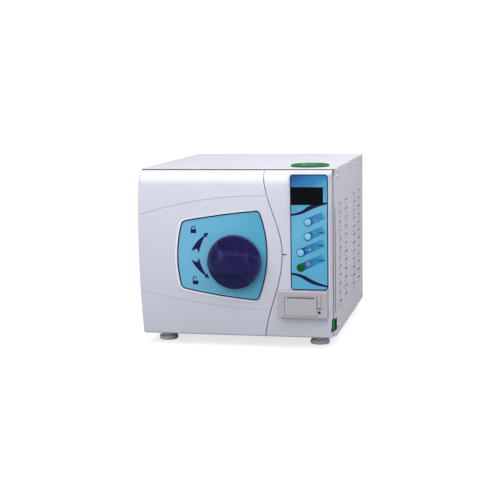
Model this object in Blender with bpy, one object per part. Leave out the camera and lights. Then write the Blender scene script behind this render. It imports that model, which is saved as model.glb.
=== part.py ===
"""Benchtop steam autoclave: sheet-metal cabinet, swinging door with a rotary lock, control fascia.

All shapes are given in millimetres in the cabinet's own frame: x = 0 is the cabinet's middle,
y = 0 its front edge (+y runs back), z = 0 the underside of its base pan.  finish_object() turns
them into metres and moves them to the part's frame, whose origin is on the bench surface under
the middle of the object's box.  A moving piece has its origin on its joint's axis.
"""
import bpy
import bmesh
from math import atan2, cos, hypot, pi, radians, sin, sqrt, tan
from mathutils import Matrix, Vector

MM = 0.001
GAP = 0.3                      # clearance between touching pieces

# Cabinet
WIDTH = 445.0
DEPTH = 500.0
HEIGHT = 380.0
SHEET = 1.2
FOOT_HEIGHT = 24.0
FOOT_RADIUS = 22.0
FOOT_X = 180.0
FOOT_Y = (42.0, 455.0)
FLANGE_Z = 365.0               # lower edge of the top cover's side flanges
LOUVRE_Y = (72.0, 170.0, 318.0, 412.0)
LOUVRE_LENGTH = 60.0
LOUVRE_ROWS = 12
LOUVRE_TOP_Z = 294.0
LOUVRE_PITCH = 20.4
LOUVRE_SLOT = 2.6
LOUVRE_PROUD = 3.0
FOLD = 4.5                      # width of the side panels' folded front edge
LIP = 2.6                       # height of the top cover's folded front edge

# Moulded front: one bulged profile shared by the door and the fixed fascia
FRONT_BULGE_Y = -46.0
FRONT_RADIUS = 859.0
FRONT_CREST_Z = 205.0
FRONT_BOTTOM_Z = 1.0
FRONT_TOP_Z = 377.0
TOP_ROUND_Z = 355.0
TOP_ROUND_Y = -3.0
FRONT_BACK_Y = -1.0
FRONT_RIGHT_X = 217.0
SEAM_MID_Z = 193.0
SEAM_EDGE_X = 66.0
SEAM_SWELL = 44.0
SEAM_GAP = 1.5
DOOR_WALL = 4.0
FASCIA_WALL = 2.0

# Pressure chamber and its door parts
CHAMBER_X = -66.0
CHAMBER_Z = 188.0
CHAMBER_R = 115.0
CHAMBER_WALL = 2.0
CHAMBER_BACK_Y = 368.0
FLANGE_RING_R = 131.0
PLATE_R = 128.0
LINER_HOLE_R = 133.2
LINER_Z = (6.0, 372.0)

# Tray rack, its rails and its trays
RACK_HALF = 90.5
RACK_SHEET = 1.5
RACK_Y = (25.0, 335.0)
RACK_Z = (CHAMBER_Z - 60.0, CHAMBER_Z + 62.0)
RAIL_LEVELS = (-54.0, -8.0, 38.0)      # measured from the chamber's middle
TRAY_Y = (28.0, 318.0)
TRAY_WALL = 1.2
TRAY_HEIGHT = 17.0

# Door lock
KNOB_X = 3.0
KNOB_Z = 175.0
KNOB_R = 61.0
KNOB_BACK_Y = -48.5
KNOB_FRONT_Y = -93.0
SPINDLE_R = 8.0
GEAR_MODULE = 2.0
PINION_TEETH = 12
PRESSURE_ANGLE = radians(25.0)
BACKLASH = 0.35
BOLT_Y = (-39.0, -30.6)
BOLT_TOP_Z = KNOB_Z + 24.0
BOLT_X = (-54.0, 81.0)

# Door hinge
HINGE_X = -212.0
HINGE_Y = -22.0
HINGE_PIN_R = 4.0
KNUCKLE_R = 7.2
HINGE_ARMS_Z = ((142.0, 158.0), (218.0, 234.0))
BRIDGE_Z = (160.0, 216.0)      # the door's own knuckle, between the two arms
HINGE_EDGE_X = (-230.0, -216.0)    # strip of the door's left edge that is cut back around the hinge

# Control fascia
PAD_X = (128.8, 214.6)
PAD_Z = (113.2, 370.6)
PAD_SPREAD = 2.3               # how far its chamfer widens it
PAD_CHAMFER = 4.5              # and how deep that chamfer is
OVERLAY_X = (129.5, 213.4)
OVERLAY_Z = (114.0, 370.0)
OVERLAY_Y = (-47.3, -46.3)
DISPLAY_X = (131.0, 202.5)
DISPLAY_Z = (304.5, 342.0)
BUTTON_R = 9.0
BUTTONS = ((168.5, 265.0), (168.5, 233.0), (152.0, 197.0), (152.0, 164.0))

# Record printer
PRINTER_X = (100.3, 211.0)
PRINTER_Z = (51.0, 111.8)
PRINTER_Y = (-49.0, -9.0)
PAPER_DOOR_X = (115.3, 186.8)
PAPER_DOOR_Z = (55.8, 99.6)
PAPER_DOOR_Y = (-49.5, -46.8)
LATCH_X = (188.4, 196.8)
LATCH_Z = (75.0, 103.0)
FEED_KEY = (193.0, 64.1)

# Power switch in the lower right corner, facing +X
SWITCH_X = (199.0, 223.4)
SWITCH_Y = (-21.6, 17.0)
SWITCH_Z = (14.0, 42.0)
SWITCH_FRONT_X = 214.8          # its face slants from here out to SWITCH_X[1]
SWITCH_SLANT = atan2(SWITCH_X[1] - SWITCH_FRONT_X, SWITCH_Y[1] - SWITCH_Y[0])
ROCKER_INSET = 7.0              # pivot's depth behind the face
ROCKER_Z = (18.0, 38.0)
ROCKER_SLOT = (-12.3, 12.3)
ROCKER_TILT = radians(10.0)

# Water filler in the top cover
FILLER_X = 157.0
FILLER_Y = 60.0
CAP_R = 44.0
TANK_WALL = 2.5

# Rear services
FAN_X = CHAMBER_X
FAN_Z = 188.0
FAN_MID_Y = 486.0
FAN_BLADES = 7
VALVE = (-150.0, 300.0)        # (x, z) of the safety valve
DRAIN = (60.0, 55.0)
INLET_X = (156.0, 184.0)
INLET_Z = (46.0, 94.0)
REAR_FITTING_Y = 512.0

FRONT_MOST_Y = KNOB_FRONT_Y
ORIGIN_SHIFT = Vector((0.0, -(FRONT_MOST_Y + REAR_FITTING_Y) / 2.0, FOOT_HEIGHT))

# name: (colour, roughness, metallic)
FINISHES = {
    "painted_sheet": ((0.80, 0.79, 0.84), 0.45, 0.0),
    "front_plastic": ((0.78, 0.79, 0.86), 0.40, 0.0),
    "steel": ((0.62, 0.63, 0.65), 0.30, 1.0),
    "galvanised": ((0.55, 0.57, 0.60), 0.45, 1.0),
    "brass": ((0.78, 0.60, 0.28), 0.35, 1.0),
    "knob_plastic": ((0.05, 0.03, 0.12), 0.20, 0.0),
    "label_blue": ((0.25, 0.55, 0.75), 0.35, 0.0),
    "display_black": ((0.02, 0.02, 0.03), 0.15, 0.0),
    "printer_grey": ((0.52, 0.50, 0.55), 0.50, 0.0),
    "black_plastic": ((0.03, 0.03, 0.03), 0.45, 0.0),
    "green_plastic": ((0.02, 0.30, 0.12), 0.30, 0.0),
    "button_green": ((0.03, 0.22, 0.14), 0.40, 0.0),
    "rubber": ((0.75, 0.73, 0.70), 0.70, 0.0),
    "silicone": ((0.80, 0.35, 0.25), 0.60, 0.0),
    "paper": ((0.95, 0.94, 0.90), 0.80, 0.0),
    "board_green": ((0.05, 0.30, 0.12), 0.50, 0.0),
    "tank_plastic": ((0.85, 0.87, 0.88), 0.40, 0.0),
    "insulation": ((0.72, 0.66, 0.50), 0.90, 0.0),
    "pump_grey": ((0.30, 0.32, 0.34), 0.55, 0.2),
}


# ---------------------------------------------------------------- scene helpers

def clear_scene():
    for obj in list(bpy.data.objects):
        bpy.data.objects.remove(obj, do_unlink=True)


def material(name):
    """The Principled material of one finish, made on its first use."""
    found = bpy.data.materials.get(name)
    if found:
        return found
    colour, roughness, metallic = FINISHES[name]
    made = bpy.data.materials.new(name)
    made.use_nodes = True
    shader = made.node_tree.nodes["Principled BSDF"]
    shader.inputs["Base Color"].default_value = (*colour, 1.0)
    shader.inputs["Roughness"].default_value = roughness
    shader.inputs["Metallic"].default_value = metallic
    return made


def finish_object(name, shape, finish=None, pivot=(0.0, 0.0, 0.0)):
    """Turn a bmesh in cabinet millimetres into an object whose origin is at pivot."""
    bmesh.ops.recalc_face_normals(shape, faces=shape.faces)
    centre = Vector(pivot)
    for vert in shape.verts:
        vert.co = (vert.co - centre) * MM
    mesh = bpy.data.meshes.new(name)
    shape.to_mesh(mesh)
    shape.free()
    mesh.shade_smooth()
    mesh.set_sharp_from_angle(angle=radians(30.0))
    obj = bpy.data.objects.new(name, mesh)
    obj.location = (centre + ORIGIN_SHIFT) * MM
    bpy.context.scene.collection.objects.link(obj)
    if finish:
        mesh.materials.append(material(finish))
    else:
        obj.hide_render = True
        obj.display_type = 'WIRE'
    return obj


def combine(target, operation, *shapes):
    """Add one Boolean modifier for each shape, with a hidden guide object as its operand."""
    for shape in shapes:
        number = len(target.modifiers) + 1
        guide = finish_object(f"guide_{target.name}_{number}", shape)
        modifier = target.modifiers.new(f"{operation.lower()}_{number}", 'BOOLEAN')
        modifier.operation = operation
        modifier.solver = 'EXACT'
        modifier.object = guide
    return target


def cut(target, *shapes):
    return combine(target, 'DIFFERENCE', *shapes)


def join(target, *shapes):
    return combine(target, 'UNION', *shapes)


# ---------------------------------------------------------------- shape helpers

def box(x, y, z):
    """A box from three (low, high) pairs."""
    shape = bmesh.new()
    corners = [shape.verts.new((a, b, c)) for c in z for b in y for a in x]
    for face in ((0, 1, 3, 2), (4, 6, 7, 5), (0, 4, 5, 1), (2, 3, 7, 6), (0, 2, 6, 4), (1, 5, 7, 3)):
        shape.faces.new([corners[i] for i in face])
    return shape


def boxes(specs):
    """Several boxes that don't touch each other, as one cutting shape."""
    shape = bmesh.new()
    for spec in specs:
        piece = box(*spec)
        mesh = bpy.data.meshes.new("part")
        piece.to_mesh(mesh)
        piece.free()
        shape.from_mesh(mesh)
        bpy.data.meshes.remove(mesh)
    return shape


def axis_matrix(axis, centre):
    """Carries a shape made about +Z to the given axis, through centre."""
    turn = Vector((0, 0, 1)).rotation_difference(Vector(axis)).to_matrix().to_4x4()
    return Matrix.Translation(Vector(centre)) @ turn


def lathe(profile, sides, axis=(0, 0, 1), centre=(0, 0, 0), ring=False):
    """Turn (radius, height) points about an axis; ring closes the profile on itself."""
    shape = bmesh.new()
    rings = []
    for radius, height in profile:
        if radius == 0.0:
            rings.append([shape.verts.new((0.0, 0.0, height))] * sides)
            continue
        angles = [2.0 * pi * i / sides for i in range(sides)]
        rings.append([shape.verts.new((radius * cos(a), radius * sin(a), height)) for a in angles])
    pairs = list(zip(rings, rings[1:]))
    if ring:
        pairs.append((rings[-1], rings[0]))
    for low, high in pairs:
        for i in range(sides):
            k = (i + 1) % sides
            corners = list(dict.fromkeys((low[i], low[k], high[k], high[i])))
            shape.faces.new(corners)
    bmesh.ops.transform(shape, matrix=axis_matrix(axis, centre), verts=shape.verts)
    return shape


def cylinder(radius, low, high, sides, axis=(0, 0, 1), centre=(0, 0, 0)):
    profile = ((0.0, low), (radius, low), (radius, high), (0.0, high))
    return lathe(profile, sides, axis, centre)


def tube(inner, outer, low, high, sides, axis=(0, 0, 1), centre=(0, 0, 0)):
    profile = ((inner, low), (outer, low), (outer, high), (inner, high))
    return lathe(profile, sides, axis, centre, ring=True)


def prism(outline, low, high, place):
    """Extrude a 2-D outline from low to high; place(u, v, w) gives the 3-D point."""
    shape = bmesh.new()
    ends = [[shape.verts.new(place(u, v, w)) for u, v in outline] for w in (low, high)]
    count = len(outline)
    shape.faces.new(ends[0][::-1])
    shape.faces.new(ends[1])
    for i in range(count):
        k = (i + 1) % count
        shape.faces.new((ends[0][i], ends[0][k], ends[1][k], ends[1][i]))
    return shape


def facing_front(u, v, w):
    return (u, w, v)


def rounded_rectangle(x, z, radius, steps=3):
    """Outline of a rectangle with round corners, counter-clockwise."""
    corners = ((x[1], z[0], -90), (x[1], z[1], 0), (x[0], z[1], 90), (x[0], z[0], 180))
    outline = []
    for corner_x, corner_z, start in corners:
        mid_x = corner_x + (radius if corner_x == x[0] else -radius)
        mid_z = corner_z + (radius if corner_z == z[0] else -radius)
        for i in range(steps + 1):
            angle = radians(start + 90.0 * i / steps)
            outline.append((mid_x + radius * cos(angle), mid_z + radius * sin(angle)))
    return outline


# ---------------------------------------------------------------- moulded front

def front_y(z, inset=0.0):
    """The bulged face's y at height z, moved inwards by inset."""
    radius = FRONT_RADIUS - inset
    return FRONT_BULGE_Y + FRONT_RADIUS - sqrt(radius ** 2 - (z - FRONT_CREST_Z) ** 2)


def seam_x(z):
    """The curved seam between the door and the fascia; its lower half is a little fuller."""
    upper = z > SEAM_MID_Z
    span = 185.0 if upper else 200.0
    fullness = 1.0 if upper else 0.85
    wave = 0.5 * (1.0 + cos(pi * (z - SEAM_MID_Z) / span))
    return SEAM_EDGE_X + SEAM_SWELL * wave ** fullness


def front_profile(inset, stations=20, top_steps=5):
    """(y, z) points of the moulded front from its lower edge up and over the top rounding."""
    low = FRONT_BOTTOM_Z + inset
    corner = low + 5.0
    points = [(front_y(corner, inset) + 6.0, low)]
    for i in range(stations + 1):
        z = corner + (TOP_ROUND_Z - corner) * i / stations
        points.append((front_y(z, inset), z))
    reach_y = TOP_ROUND_Y - front_y(TOP_ROUND_Z, inset)
    reach_z = FRONT_TOP_Z - inset - TOP_ROUND_Z
    for i in range(1, top_steps + 1):
        angle = 0.5 * pi * i / top_steps
        points.append((TOP_ROUND_Y - reach_y * cos(angle), TOP_ROUND_Z + reach_z * sin(angle)))
    return points


def front_block(left, right, inset, back_y):
    """Solid behind the front profile, between two x edges that are functions of z."""
    shape = bmesh.new()
    rows = []
    for y, z in front_profile(inset):
        corners = ((left(z), y), (right(z), y), (right(z), back_y), (left(z), back_y))
        rows.append([shape.verts.new((x, depth, z)) for x, depth in corners])
    for low, high in zip(rows, rows[1:]):
        for i in range(4):
            k = (i + 1) % 4
            shape.faces.new((low[i], low[k], high[k], high[i]))
    shape.faces.new(rows[0])
    shape.faces.new(rows[-1][::-1])
    return shape


def front_skin(outline_low_z, outline_high_z, outer_inset, inner_inset, x_range, steps=12):
    """A curved slab that lies between two insets of the bulged face."""
    shape = bmesh.new()
    rows = []
    for i in range(steps + 1):
        z = outline_low_z + (outline_high_z - outline_low_z) * i / steps
        outer, inner = front_y(z, outer_inset), front_y(z, inner_inset)
        corners = ((x_range[0], outer), (x_range[1], outer), (x_range[1], inner), (x_range[0], inner))
        rows.append([shape.verts.new((x, y, z)) for x, y in corners])
    for low, high in zip(rows, rows[1:]):
        for i in range(4):
            k = (i + 1) % 4
            shape.faces.new((low[i], low[k], high[k], high[i]))
    shape.faces.new(rows[0])
    shape.faces.new(rows[-1][::-1])
    return shape


def label_outline(grow=0.0):
    """The door plate's outline: blunt to the left, bulged to the right like the seam."""
    corners = ((-109.0, 266.0), (49.0, 288.0), (61.0, 281.0), (72.0, 240.0), (77.0, 191.0),
               (72.0, 143.0), (60.0, 96.0), (47.0, 86.0), (-112.0, 109.0), (-124.0, 121.0),
               (-130.0, 148.0), (-130.0, 226.0), (-121.0, 256.0))
    mid_x = -26.0
    mid_z = 188.0
    grown = []
    for x, z in corners:
        reach = hypot(x - mid_x, z - mid_z)
        scale = (reach + grow) / reach
        grown.append((mid_x + (x - mid_x) * scale, mid_z + (z - mid_z) * scale))
    return grown


# ---------------------------------------------------------------- gear teeth

def involute(angle):
    return tan(angle) - angle


def pinion_outline():
    """Involute pinion about (0, 0) with a tooth pointing along +v, thinned by the backlash."""
    pitch_r = GEAR_MODULE * PINION_TEETH / 2.0
    base_r = pitch_r * cos(PRESSURE_ANGLE)
    tip_r = pitch_r + 0.8 * GEAR_MODULE
    root_r = pitch_r - 1.1 * GEAR_MODULE
    half_tooth = pi / (2 * PINION_TEETH) - BACKLASH / (2.0 * pitch_r)
    flank = []
    steps = 3
    for i in range(steps + 1):
        radius = max(base_r, root_r) + (tip_r - max(base_r, root_r)) * i / steps
        roll = sqrt(max(0.0, (radius / base_r) ** 2 - 1.0))
        unwound = roll - atan2(roll, 1.0)
        flank.append((radius, half_tooth + involute(PRESSURE_ANGLE) - unwound))
    flank.insert(0, (root_r, flank[0][1]))
    outline = []
    for tooth in range(PINION_TEETH):
        middle = pi / 2.0 + 2.0 * pi * tooth / PINION_TEETH
        for radius, half in flank:
            outline.append((radius * cos(middle - half), radius * sin(middle - half)))
        for radius, half in reversed(flank):
            outline.append((radius * cos(middle + half), radius * sin(middle + half)))
    return outline


def rack_outline():
    """Bar with straight-flanked teeth on its underside, meshing with the pinion below it."""
    pitch = pi * GEAR_MODULE
    pitch_z = KNOB_Z + GEAR_MODULE * PINION_TEETH / 2.0
    tip_z = pitch_z - 0.8 * GEAR_MODULE
    root_z = pitch_z + 1.1 * GEAR_MODULE
    half_pitch_line = pitch / 4.0 - BACKLASH / 2.0
    half_tip = half_pitch_line - (pitch_z - tip_z) * tan(PRESSURE_ANGLE)
    half_root = half_pitch_line + (root_z - pitch_z) * tan(PRESSURE_ANGLE)
    outline = [(BOLT_X[0], root_z)]
    for number in range(-5, 3):
        middle = KNOB_X + (number + 0.5) * pitch
        outline += [(middle - half_root, root_z), (middle - half_tip, tip_z),
                    (middle + half_tip, tip_z), (middle + half_root, root_z)]
    outline += [(BOLT_X[1], root_z), (BOLT_X[1], BOLT_TOP_Z), (BOLT_X[0], BOLT_TOP_Z)]
    return outline


# ---------------------------------------------------------------- cabinet

def make_side_panel(name, side):
    """Side sheet with a folded front edge and four columns of vent slots, each over a short pressed hood."""
    outer = side * WIDTH / 2.0
    inner = outer - side * SHEET
    span = (min(outer, inner), max(outer, inner))
    panel = finish_object(name, box(span, (0.0, DEPTH), (0.0, FLANGE_Z - GAP)), "painted_sheet")
    slots = []
    for y in LOUVRE_Y:
        for row in range(LOUVRE_ROWS):
            z = LOUVRE_TOP_Z - row * LOUVRE_PITCH
            length = (y - LOUVRE_LENGTH / 2.0, y + LOUVRE_LENGTH / 2.0)
            slots.append(((span[0] - 1.0, span[1] + 1.0), length, (z - LOUVRE_SLOT, z)))
    cut(panel, boxes(slots))
    fold = (side * (WIDTH / 2.0 - FOLD), outer - side * SHEET / 2.0)
    join(panel, box((min(fold), max(fold)), (0.0, SHEET), (0.0, FLANGE_Z - GAP)))
    if side > 0:
        notch = box((span[1] - FOLD - 1.0, span[1] + 1.0), (-1.0, SWITCH_Y[1] + GAP),
                    (SWITCH_Z[0] - GAP, SWITCH_Z[1] + GAP))
        cut(panel, notch)
    for y in LOUVRE_Y:
        hood = ((outer - side * 0.4, LOUVRE_TOP_Z - LOUVRE_SLOT - 12.0),
                (outer, LOUVRE_TOP_Z - LOUVRE_SLOT - 12.0),
                (outer + side * LOUVRE_PROUD, LOUVRE_TOP_Z - LOUVRE_SLOT - 0.2),
                (outer - side * 0.4, LOUVRE_TOP_Z - LOUVRE_SLOT - 0.2))
        length = (y - LOUVRE_LENGTH / 2.0 + 2.0, y + LOUVRE_LENGTH / 2.0 - 2.0)
        join(panel, prism(hood, *length, lambda u, v, w: (u, w, v)))


def make_cabinet():
    inner_x = WIDTH / 2.0 - SHEET - GAP
    pan = finish_object("base_pan", box((-inner_x, inner_x), (5.0, 498.0), (0.0, 30.0)), "painted_sheet")
    cut(pan, box((-inner_x + SHEET, inner_x - SHEET), (5.0 + SHEET, 498.0 - SHEET), (SHEET, 31.0)))
    cut(pan, box((SWITCH_X[0] - 1.0, inner_x + 1.0), (4.0, SWITCH_Y[1] + 1.0), (SWITCH_Z[0] - 1.0, 31.0)))

    half = WIDTH / 2.0
    cover = finish_object("top_cover", box((-half, half), (0.0, DEPTH), (FLANGE_Z, HEIGHT)), "painted_sheet")
    cut(cover, box((-half + SHEET, half - SHEET), (-1.0, DEPTH + 1.0), (FLANGE_Z - 1.0, HEIGHT - SHEET)))
    join(cover, box((-half + SHEET / 2.0, half - SHEET / 2.0), (0.0, SHEET), (HEIGHT - LIP, HEIGHT - SHEET / 2.0)))
    cut(cover, cylinder(38.2, HEIGHT - 5.0, HEIGHT + 1.0, 36, centre=(FILLER_X, FILLER_Y, 0.0)))

    make_side_panel("side_panel_left", -1.0)
    make_side_panel("side_panel_right", 1.0)

    rear = finish_object("rear_panel", box((-inner_x, inner_x), (498.5, DEPTH), (0.5, 378.0)), "painted_sheet")
    cut(rear, cylinder(37.0, 490.0, 510.0, 36, axis=(0, 1, 0), centre=(FAN_X, 0.0, FAN_Z)))
    cut(rear, box((INLET_X[0] - 0.5, INLET_X[1] + 0.5), (490.0, 510.0), (INLET_Z[0] - 0.5, INLET_Z[1] + 0.5)))
    for x, z in (VALVE, DRAIN):
        cut(rear, cylinder(8.5, 490.0, 510.0, 20, axis=(0, 1, 0), centre=(x, 0.0, z)))

    frame = finish_object("front_frame", box((-inner_x, inner_x), (2.0, 4.0), (1.6, 378.0)), "galvanised")
    cut(frame, cylinder(131.7, -5.0, 10.0, 48, axis=(0, 1, 0), centre=(CHAMBER_X, 0.0, CHAMBER_Z)))
    cut(frame, box((SWITCH_X[0] - 1.0, inner_x + 1.0), (0.0, 6.0), (SWITCH_Z[0] - 1.0, SWITCH_Z[1] + 1.0)))
    cut(frame, box((140.0, 180.0), (0.0, 6.0), (270.0, 300.0)))

    foot = ((0.0, -FOOT_HEIGHT), (FOOT_RADIUS - 2.0, -FOOT_HEIGHT), (FOOT_RADIUS, -FOOT_HEIGHT + 2.0),
            (FOOT_RADIUS, -12.0), (FOOT_RADIUS - 3.0, -9.5), (13.0, -8.5), (13.0, -GAP), (0.0, -GAP))
    places = [(x, y) for y in FOOT_Y for x in (-FOOT_X, FOOT_X)]
    for number, (x, y) in enumerate(places, start=1):
        finish_object(f"foot_{number}", lathe(foot, 20, centre=(x, y, 0.0)), "rubber")


# ---------------------------------------------------------------- pressure chamber

def make_chamber():
    about = {"axis": (0, 1, 0), "centre": (CHAMBER_X, 0.0, CHAMBER_Z)}
    inner, outer = CHAMBER_R, CHAMBER_R + CHAMBER_WALL
    vessel = ((inner, 8.3), (outer, 8.3), (outer, CHAMBER_BACK_Y - 20.0), (70.0, CHAMBER_BACK_Y),
              (0.0, CHAMBER_BACK_Y), (0.0, CHAMBER_BACK_Y - 3.0), (69.0, CHAMBER_BACK_Y - 3.0),
              (inner, CHAMBER_BACK_Y - 22.0))
    shape = lathe(vessel[:5], 48, **about)
    back = lathe(vessel[5:], 48, **about)
    finish_object("chamber", bridge_open_lathes(shape, back), "steel")
    finish_object("chamber_flange", tube(CHAMBER_R, FLANGE_RING_R, -4.0, 8.0, 48, **about), "steel")
    finish_object("heater_band", tube(outer + 0.4, outer + 4.0, 70.0, 300.0, 48, **about), "galvanised")
    finish_object("insulation_jacket", tube(outer + 4.6, 144.0, 45.0, 340.0, 48, **about), "insulation")


def bridge_open_lathes(outside, inside):
    """Join an open outer skin and an open inner skin along their two rims."""
    mesh = bpy.data.meshes.new("skin")
    inside.to_mesh(mesh)
    inside.free()
    outside.from_mesh(mesh)
    bpy.data.meshes.remove(mesh)
    rims = [edge for edge in outside.edges if edge.is_boundary]
    bmesh.ops.bridge_loops(outside, edges=rims)
    return outside


def make_trays():
    """Rack with three pairs of rails, and three shallow trays resting on them."""
    left, right = CHAMBER_X - RACK_HALF, CHAMBER_X + RACK_HALF
    rail_y = (RACK_Y[0] + 5.0, RACK_Y[1] - 5.0)
    tie_y = (RACK_Y[1] - 13.0, RACK_Y[1] - 1.0)
    rack = finish_object("tray_rack", box((left - RACK_SHEET, left), RACK_Y, RACK_Z), "steel")
    join(rack, box((right, right + RACK_SHEET), RACK_Y, RACK_Z))
    for level in RAIL_LEVELS:
        z = CHAMBER_Z + level
        join(rack, box((left - 0.5, left + 9.0), rail_y, (z - RACK_SHEET, z)))
        join(rack, box((right - 9.0, right + 0.5), rail_y, (z - RACK_SHEET, z)))
    for z in (RACK_Z[1] - 14.0, RACK_Z[0] + 1.0):
        join(rack, box((left - 0.5, right + 0.5), tie_y, (z, z + 2.0)))
    for number, level in enumerate(RAIL_LEVELS, start=1):
        z = CHAMBER_Z + level + GAP
        x = (left + 1.0, right - 1.0)
        tray = finish_object(f"tray_{number}", box(x, TRAY_Y, (z, z + TRAY_HEIGHT)), "steel")
        cut(tray, box((x[0] + TRAY_WALL, x[1] - TRAY_WALL), (TRAY_Y[0] + TRAY_WALL, TRAY_Y[1] - TRAY_WALL),
                      (z + TRAY_WALL, z + TRAY_HEIGHT + 1.0)))


# ---------------------------------------------------------------- door

def make_door_shell():
    def left(_z):
        return -WIDTH / 2.0

    def right(z):
        return seam_x(z) - SEAM_GAP / 2.0

    hinge = (HINGE_X, HINGE_Y, CHAMBER_Z)
    knob_axis = {"axis": (0, 1, 0), "centre": (KNOB_X, 0.0, KNOB_Z)}
    shape = front_block(left, right, 0.0, FRONT_BACK_Y)
    cover = finish_object("door_cover", shape, "front_plastic", hinge)
    cut(cover, front_block(lambda z: left(z) + DOOR_WALL - 1.0, lambda z: right(z) - DOOR_WALL,
                           DOOR_WALL, 20.0))
    cut(cover, box(HINGE_EDGE_X, (-5.5, 5.0), (-5.0, 385.0)))
    for low, high in HINGE_ARMS_Z:
        cut(cover, box(HINGE_EDGE_X, (-33.0, 5.0), (low - 3.0, high + 3.0)))
    recess = finish_object("guide_label_recess", front_skin(80.0, 295.0, -6.0, 2.0, (-140.0, 90.0)))
    combine(recess, 'INTERSECT', prism(label_outline(GAP + 0.2), -70.0, -20.0, facing_front))
    use_guide(cover, recess, 'DIFFERENCE')
    cut(cover, cylinder(SPINDLE_R + 1.5, -60.0, -30.0, 28, **knob_axis))

    plate = finish_object("door_label_plate", front_skin(80.0, 295.0, 0.3, 1.5, (-140.0, 90.0)),
                          "label_blue", hinge)
    combine(plate, 'INTERSECT', prism(label_outline(), -70.0, -20.0, facing_front))
    cut(plate, cylinder(SPINDLE_R + 1.8, -60.0, -30.0, 28, **knob_axis))

    outline = [(-206.0, LINER_Z[1]), (-206.0, LINER_Z[0])]
    steps = 20
    for i in range(steps + 1):
        z = LINER_Z[0] + (LINER_Z[1] - LINER_Z[0]) * i / steps
        outline.append((right(z) - DOOR_WALL - 1.0, z))
    liner = finish_object("door_liner", prism(outline, -5.0, -3.0, facing_front), "painted_sheet", hinge)
    cut(liner, cylinder(LINER_HOLE_R, -10.0, 5.0, 48, axis=(0, 1, 0), centre=(CHAMBER_X, 0.0, CHAMBER_Z)))
    cut(liner, box((82.0, 100.0), (-10.0, 5.0), (176.0, 214.0)))


def use_guide(target, guide, operation):
    """A Boolean modifier with a guide that has modifiers of its own."""
    modifier = target.modifiers.new("guided", 'BOOLEAN')
    modifier.operation = operation
    modifier.solver = 'EXACT'
    modifier.object = guide


def make_door_works():
    hinge = (HINGE_X, HINGE_Y, CHAMBER_Z)
    about = {"axis": (0, 1, 0), "centre": (CHAMBER_X, 0.0, CHAMBER_Z)}
    knob_axis = {"axis": (0, 1, 0), "centre": (KNOB_X, 0.0, KNOB_Z)}
    pin_axis = {"centre": (HINGE_X, HINGE_Y, 0.0)}

    bridge = finish_object("door_bridge", box((HINGE_X, 60.0), (-28.0, -17.0), BRIDGE_Z), "steel", hinge)
    join(bridge, cylinder(KNUCKLE_R, *BRIDGE_Z, 24, **pin_axis))
    for lug_x in ((-44.0, -34.0), (46.0, 57.0)):
        join(bridge, box(lug_x, (-41.0, -27.0), (182.0, BOLT_TOP_Z + 4.0)))
    cut(bridge, cylinder(HINGE_PIN_R + 0.35, 150.0, 226.0, 24, **pin_axis))
    cut(bridge, box((-60.0, 70.0), (BOLT_Y[0] - 0.4, BOLT_Y[1] + 0.4), (184.9, BOLT_TOP_Z + 0.4)))
    cut(bridge, cylinder(12.4, -40.0, -10.0, 28, **knob_axis))
    cut(bridge, cylinder(6.5, -40.0, -10.0, 20, **about))

    plate = finish_object("pressure_plate", cylinder(PLATE_R, -16.0, -10.5, 48, **about), "steel", hinge)
    cut(plate, cylinder(6.5, -20.0, -13.0, 20, **about))
    finish_object("door_seal", tube(118.0, 126.0, -10.2, -4.3, 48, **about), "silicone", hinge)
    bolt = ((0.0, -34.0), (9.0, -34.0), (9.0, -28.3), (6.0, -28.3), (6.0, -13.3), (0.0, -13.3))
    finish_object("plate_bolt", lathe(bolt, 20, **about), "steel", hinge)
    bush = ((SPINDLE_R + 0.3, -30.3), (15.0, -30.3), (15.0, -28.3), (12.0, -28.3), (12.0, -17.3),
            (SPINDLE_R + 0.3, -17.3))
    finish_object("knob_bush", lathe(bush, 28, ring=True, **knob_axis), "brass", hinge)

    fixed = finish_object("hinge_bracket", box((-217.6, -205.0), (-1.8, 1.7), (136.0, 240.0)), "steel")
    for low, high in HINGE_ARMS_Z:
        join(fixed, box((HINGE_X - 4.0, HINGE_X + 4.0), (HINGE_Y, 0.0), (low, high)))
        join(fixed, cylinder(KNUCKLE_R, low, high, 24, **pin_axis))
    cut(fixed, cylinder(HINGE_PIN_R + 0.35, 130.0, 246.0, 24, **pin_axis))
    finish_object("hinge_pin", cylinder(HINGE_PIN_R, 139.0, 237.0, 24, **pin_axis), "steel")

    keeper = finish_object("latch_keeper", box((86.0, 97.0), (-41.2, 1.7), (182.0, 207.0)), "steel")
    cut(keeper, box((80.0, 110.0), (BOLT_Y[0] - 0.5, BOLT_Y[1] + 0.5), (185.0, BOLT_TOP_Z + 0.6)))


def scoop_outline(turn):
    """Finger scoop in the knob, beside the grip bar that crosses it."""
    corners = ((-37.0, 47.0), (-28.0, 36.0), (-18.0, 28.5), (-8.0, 25.0), (37.0, 24.0), (47.0, 20.0),
               (54.0, 14.0), (80.0, 14.0), (80.0, 90.0), (-37.0, 90.0))
    return [(KNOB_X + turn * u, KNOB_Z + turn * v) for u, v in corners]


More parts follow.
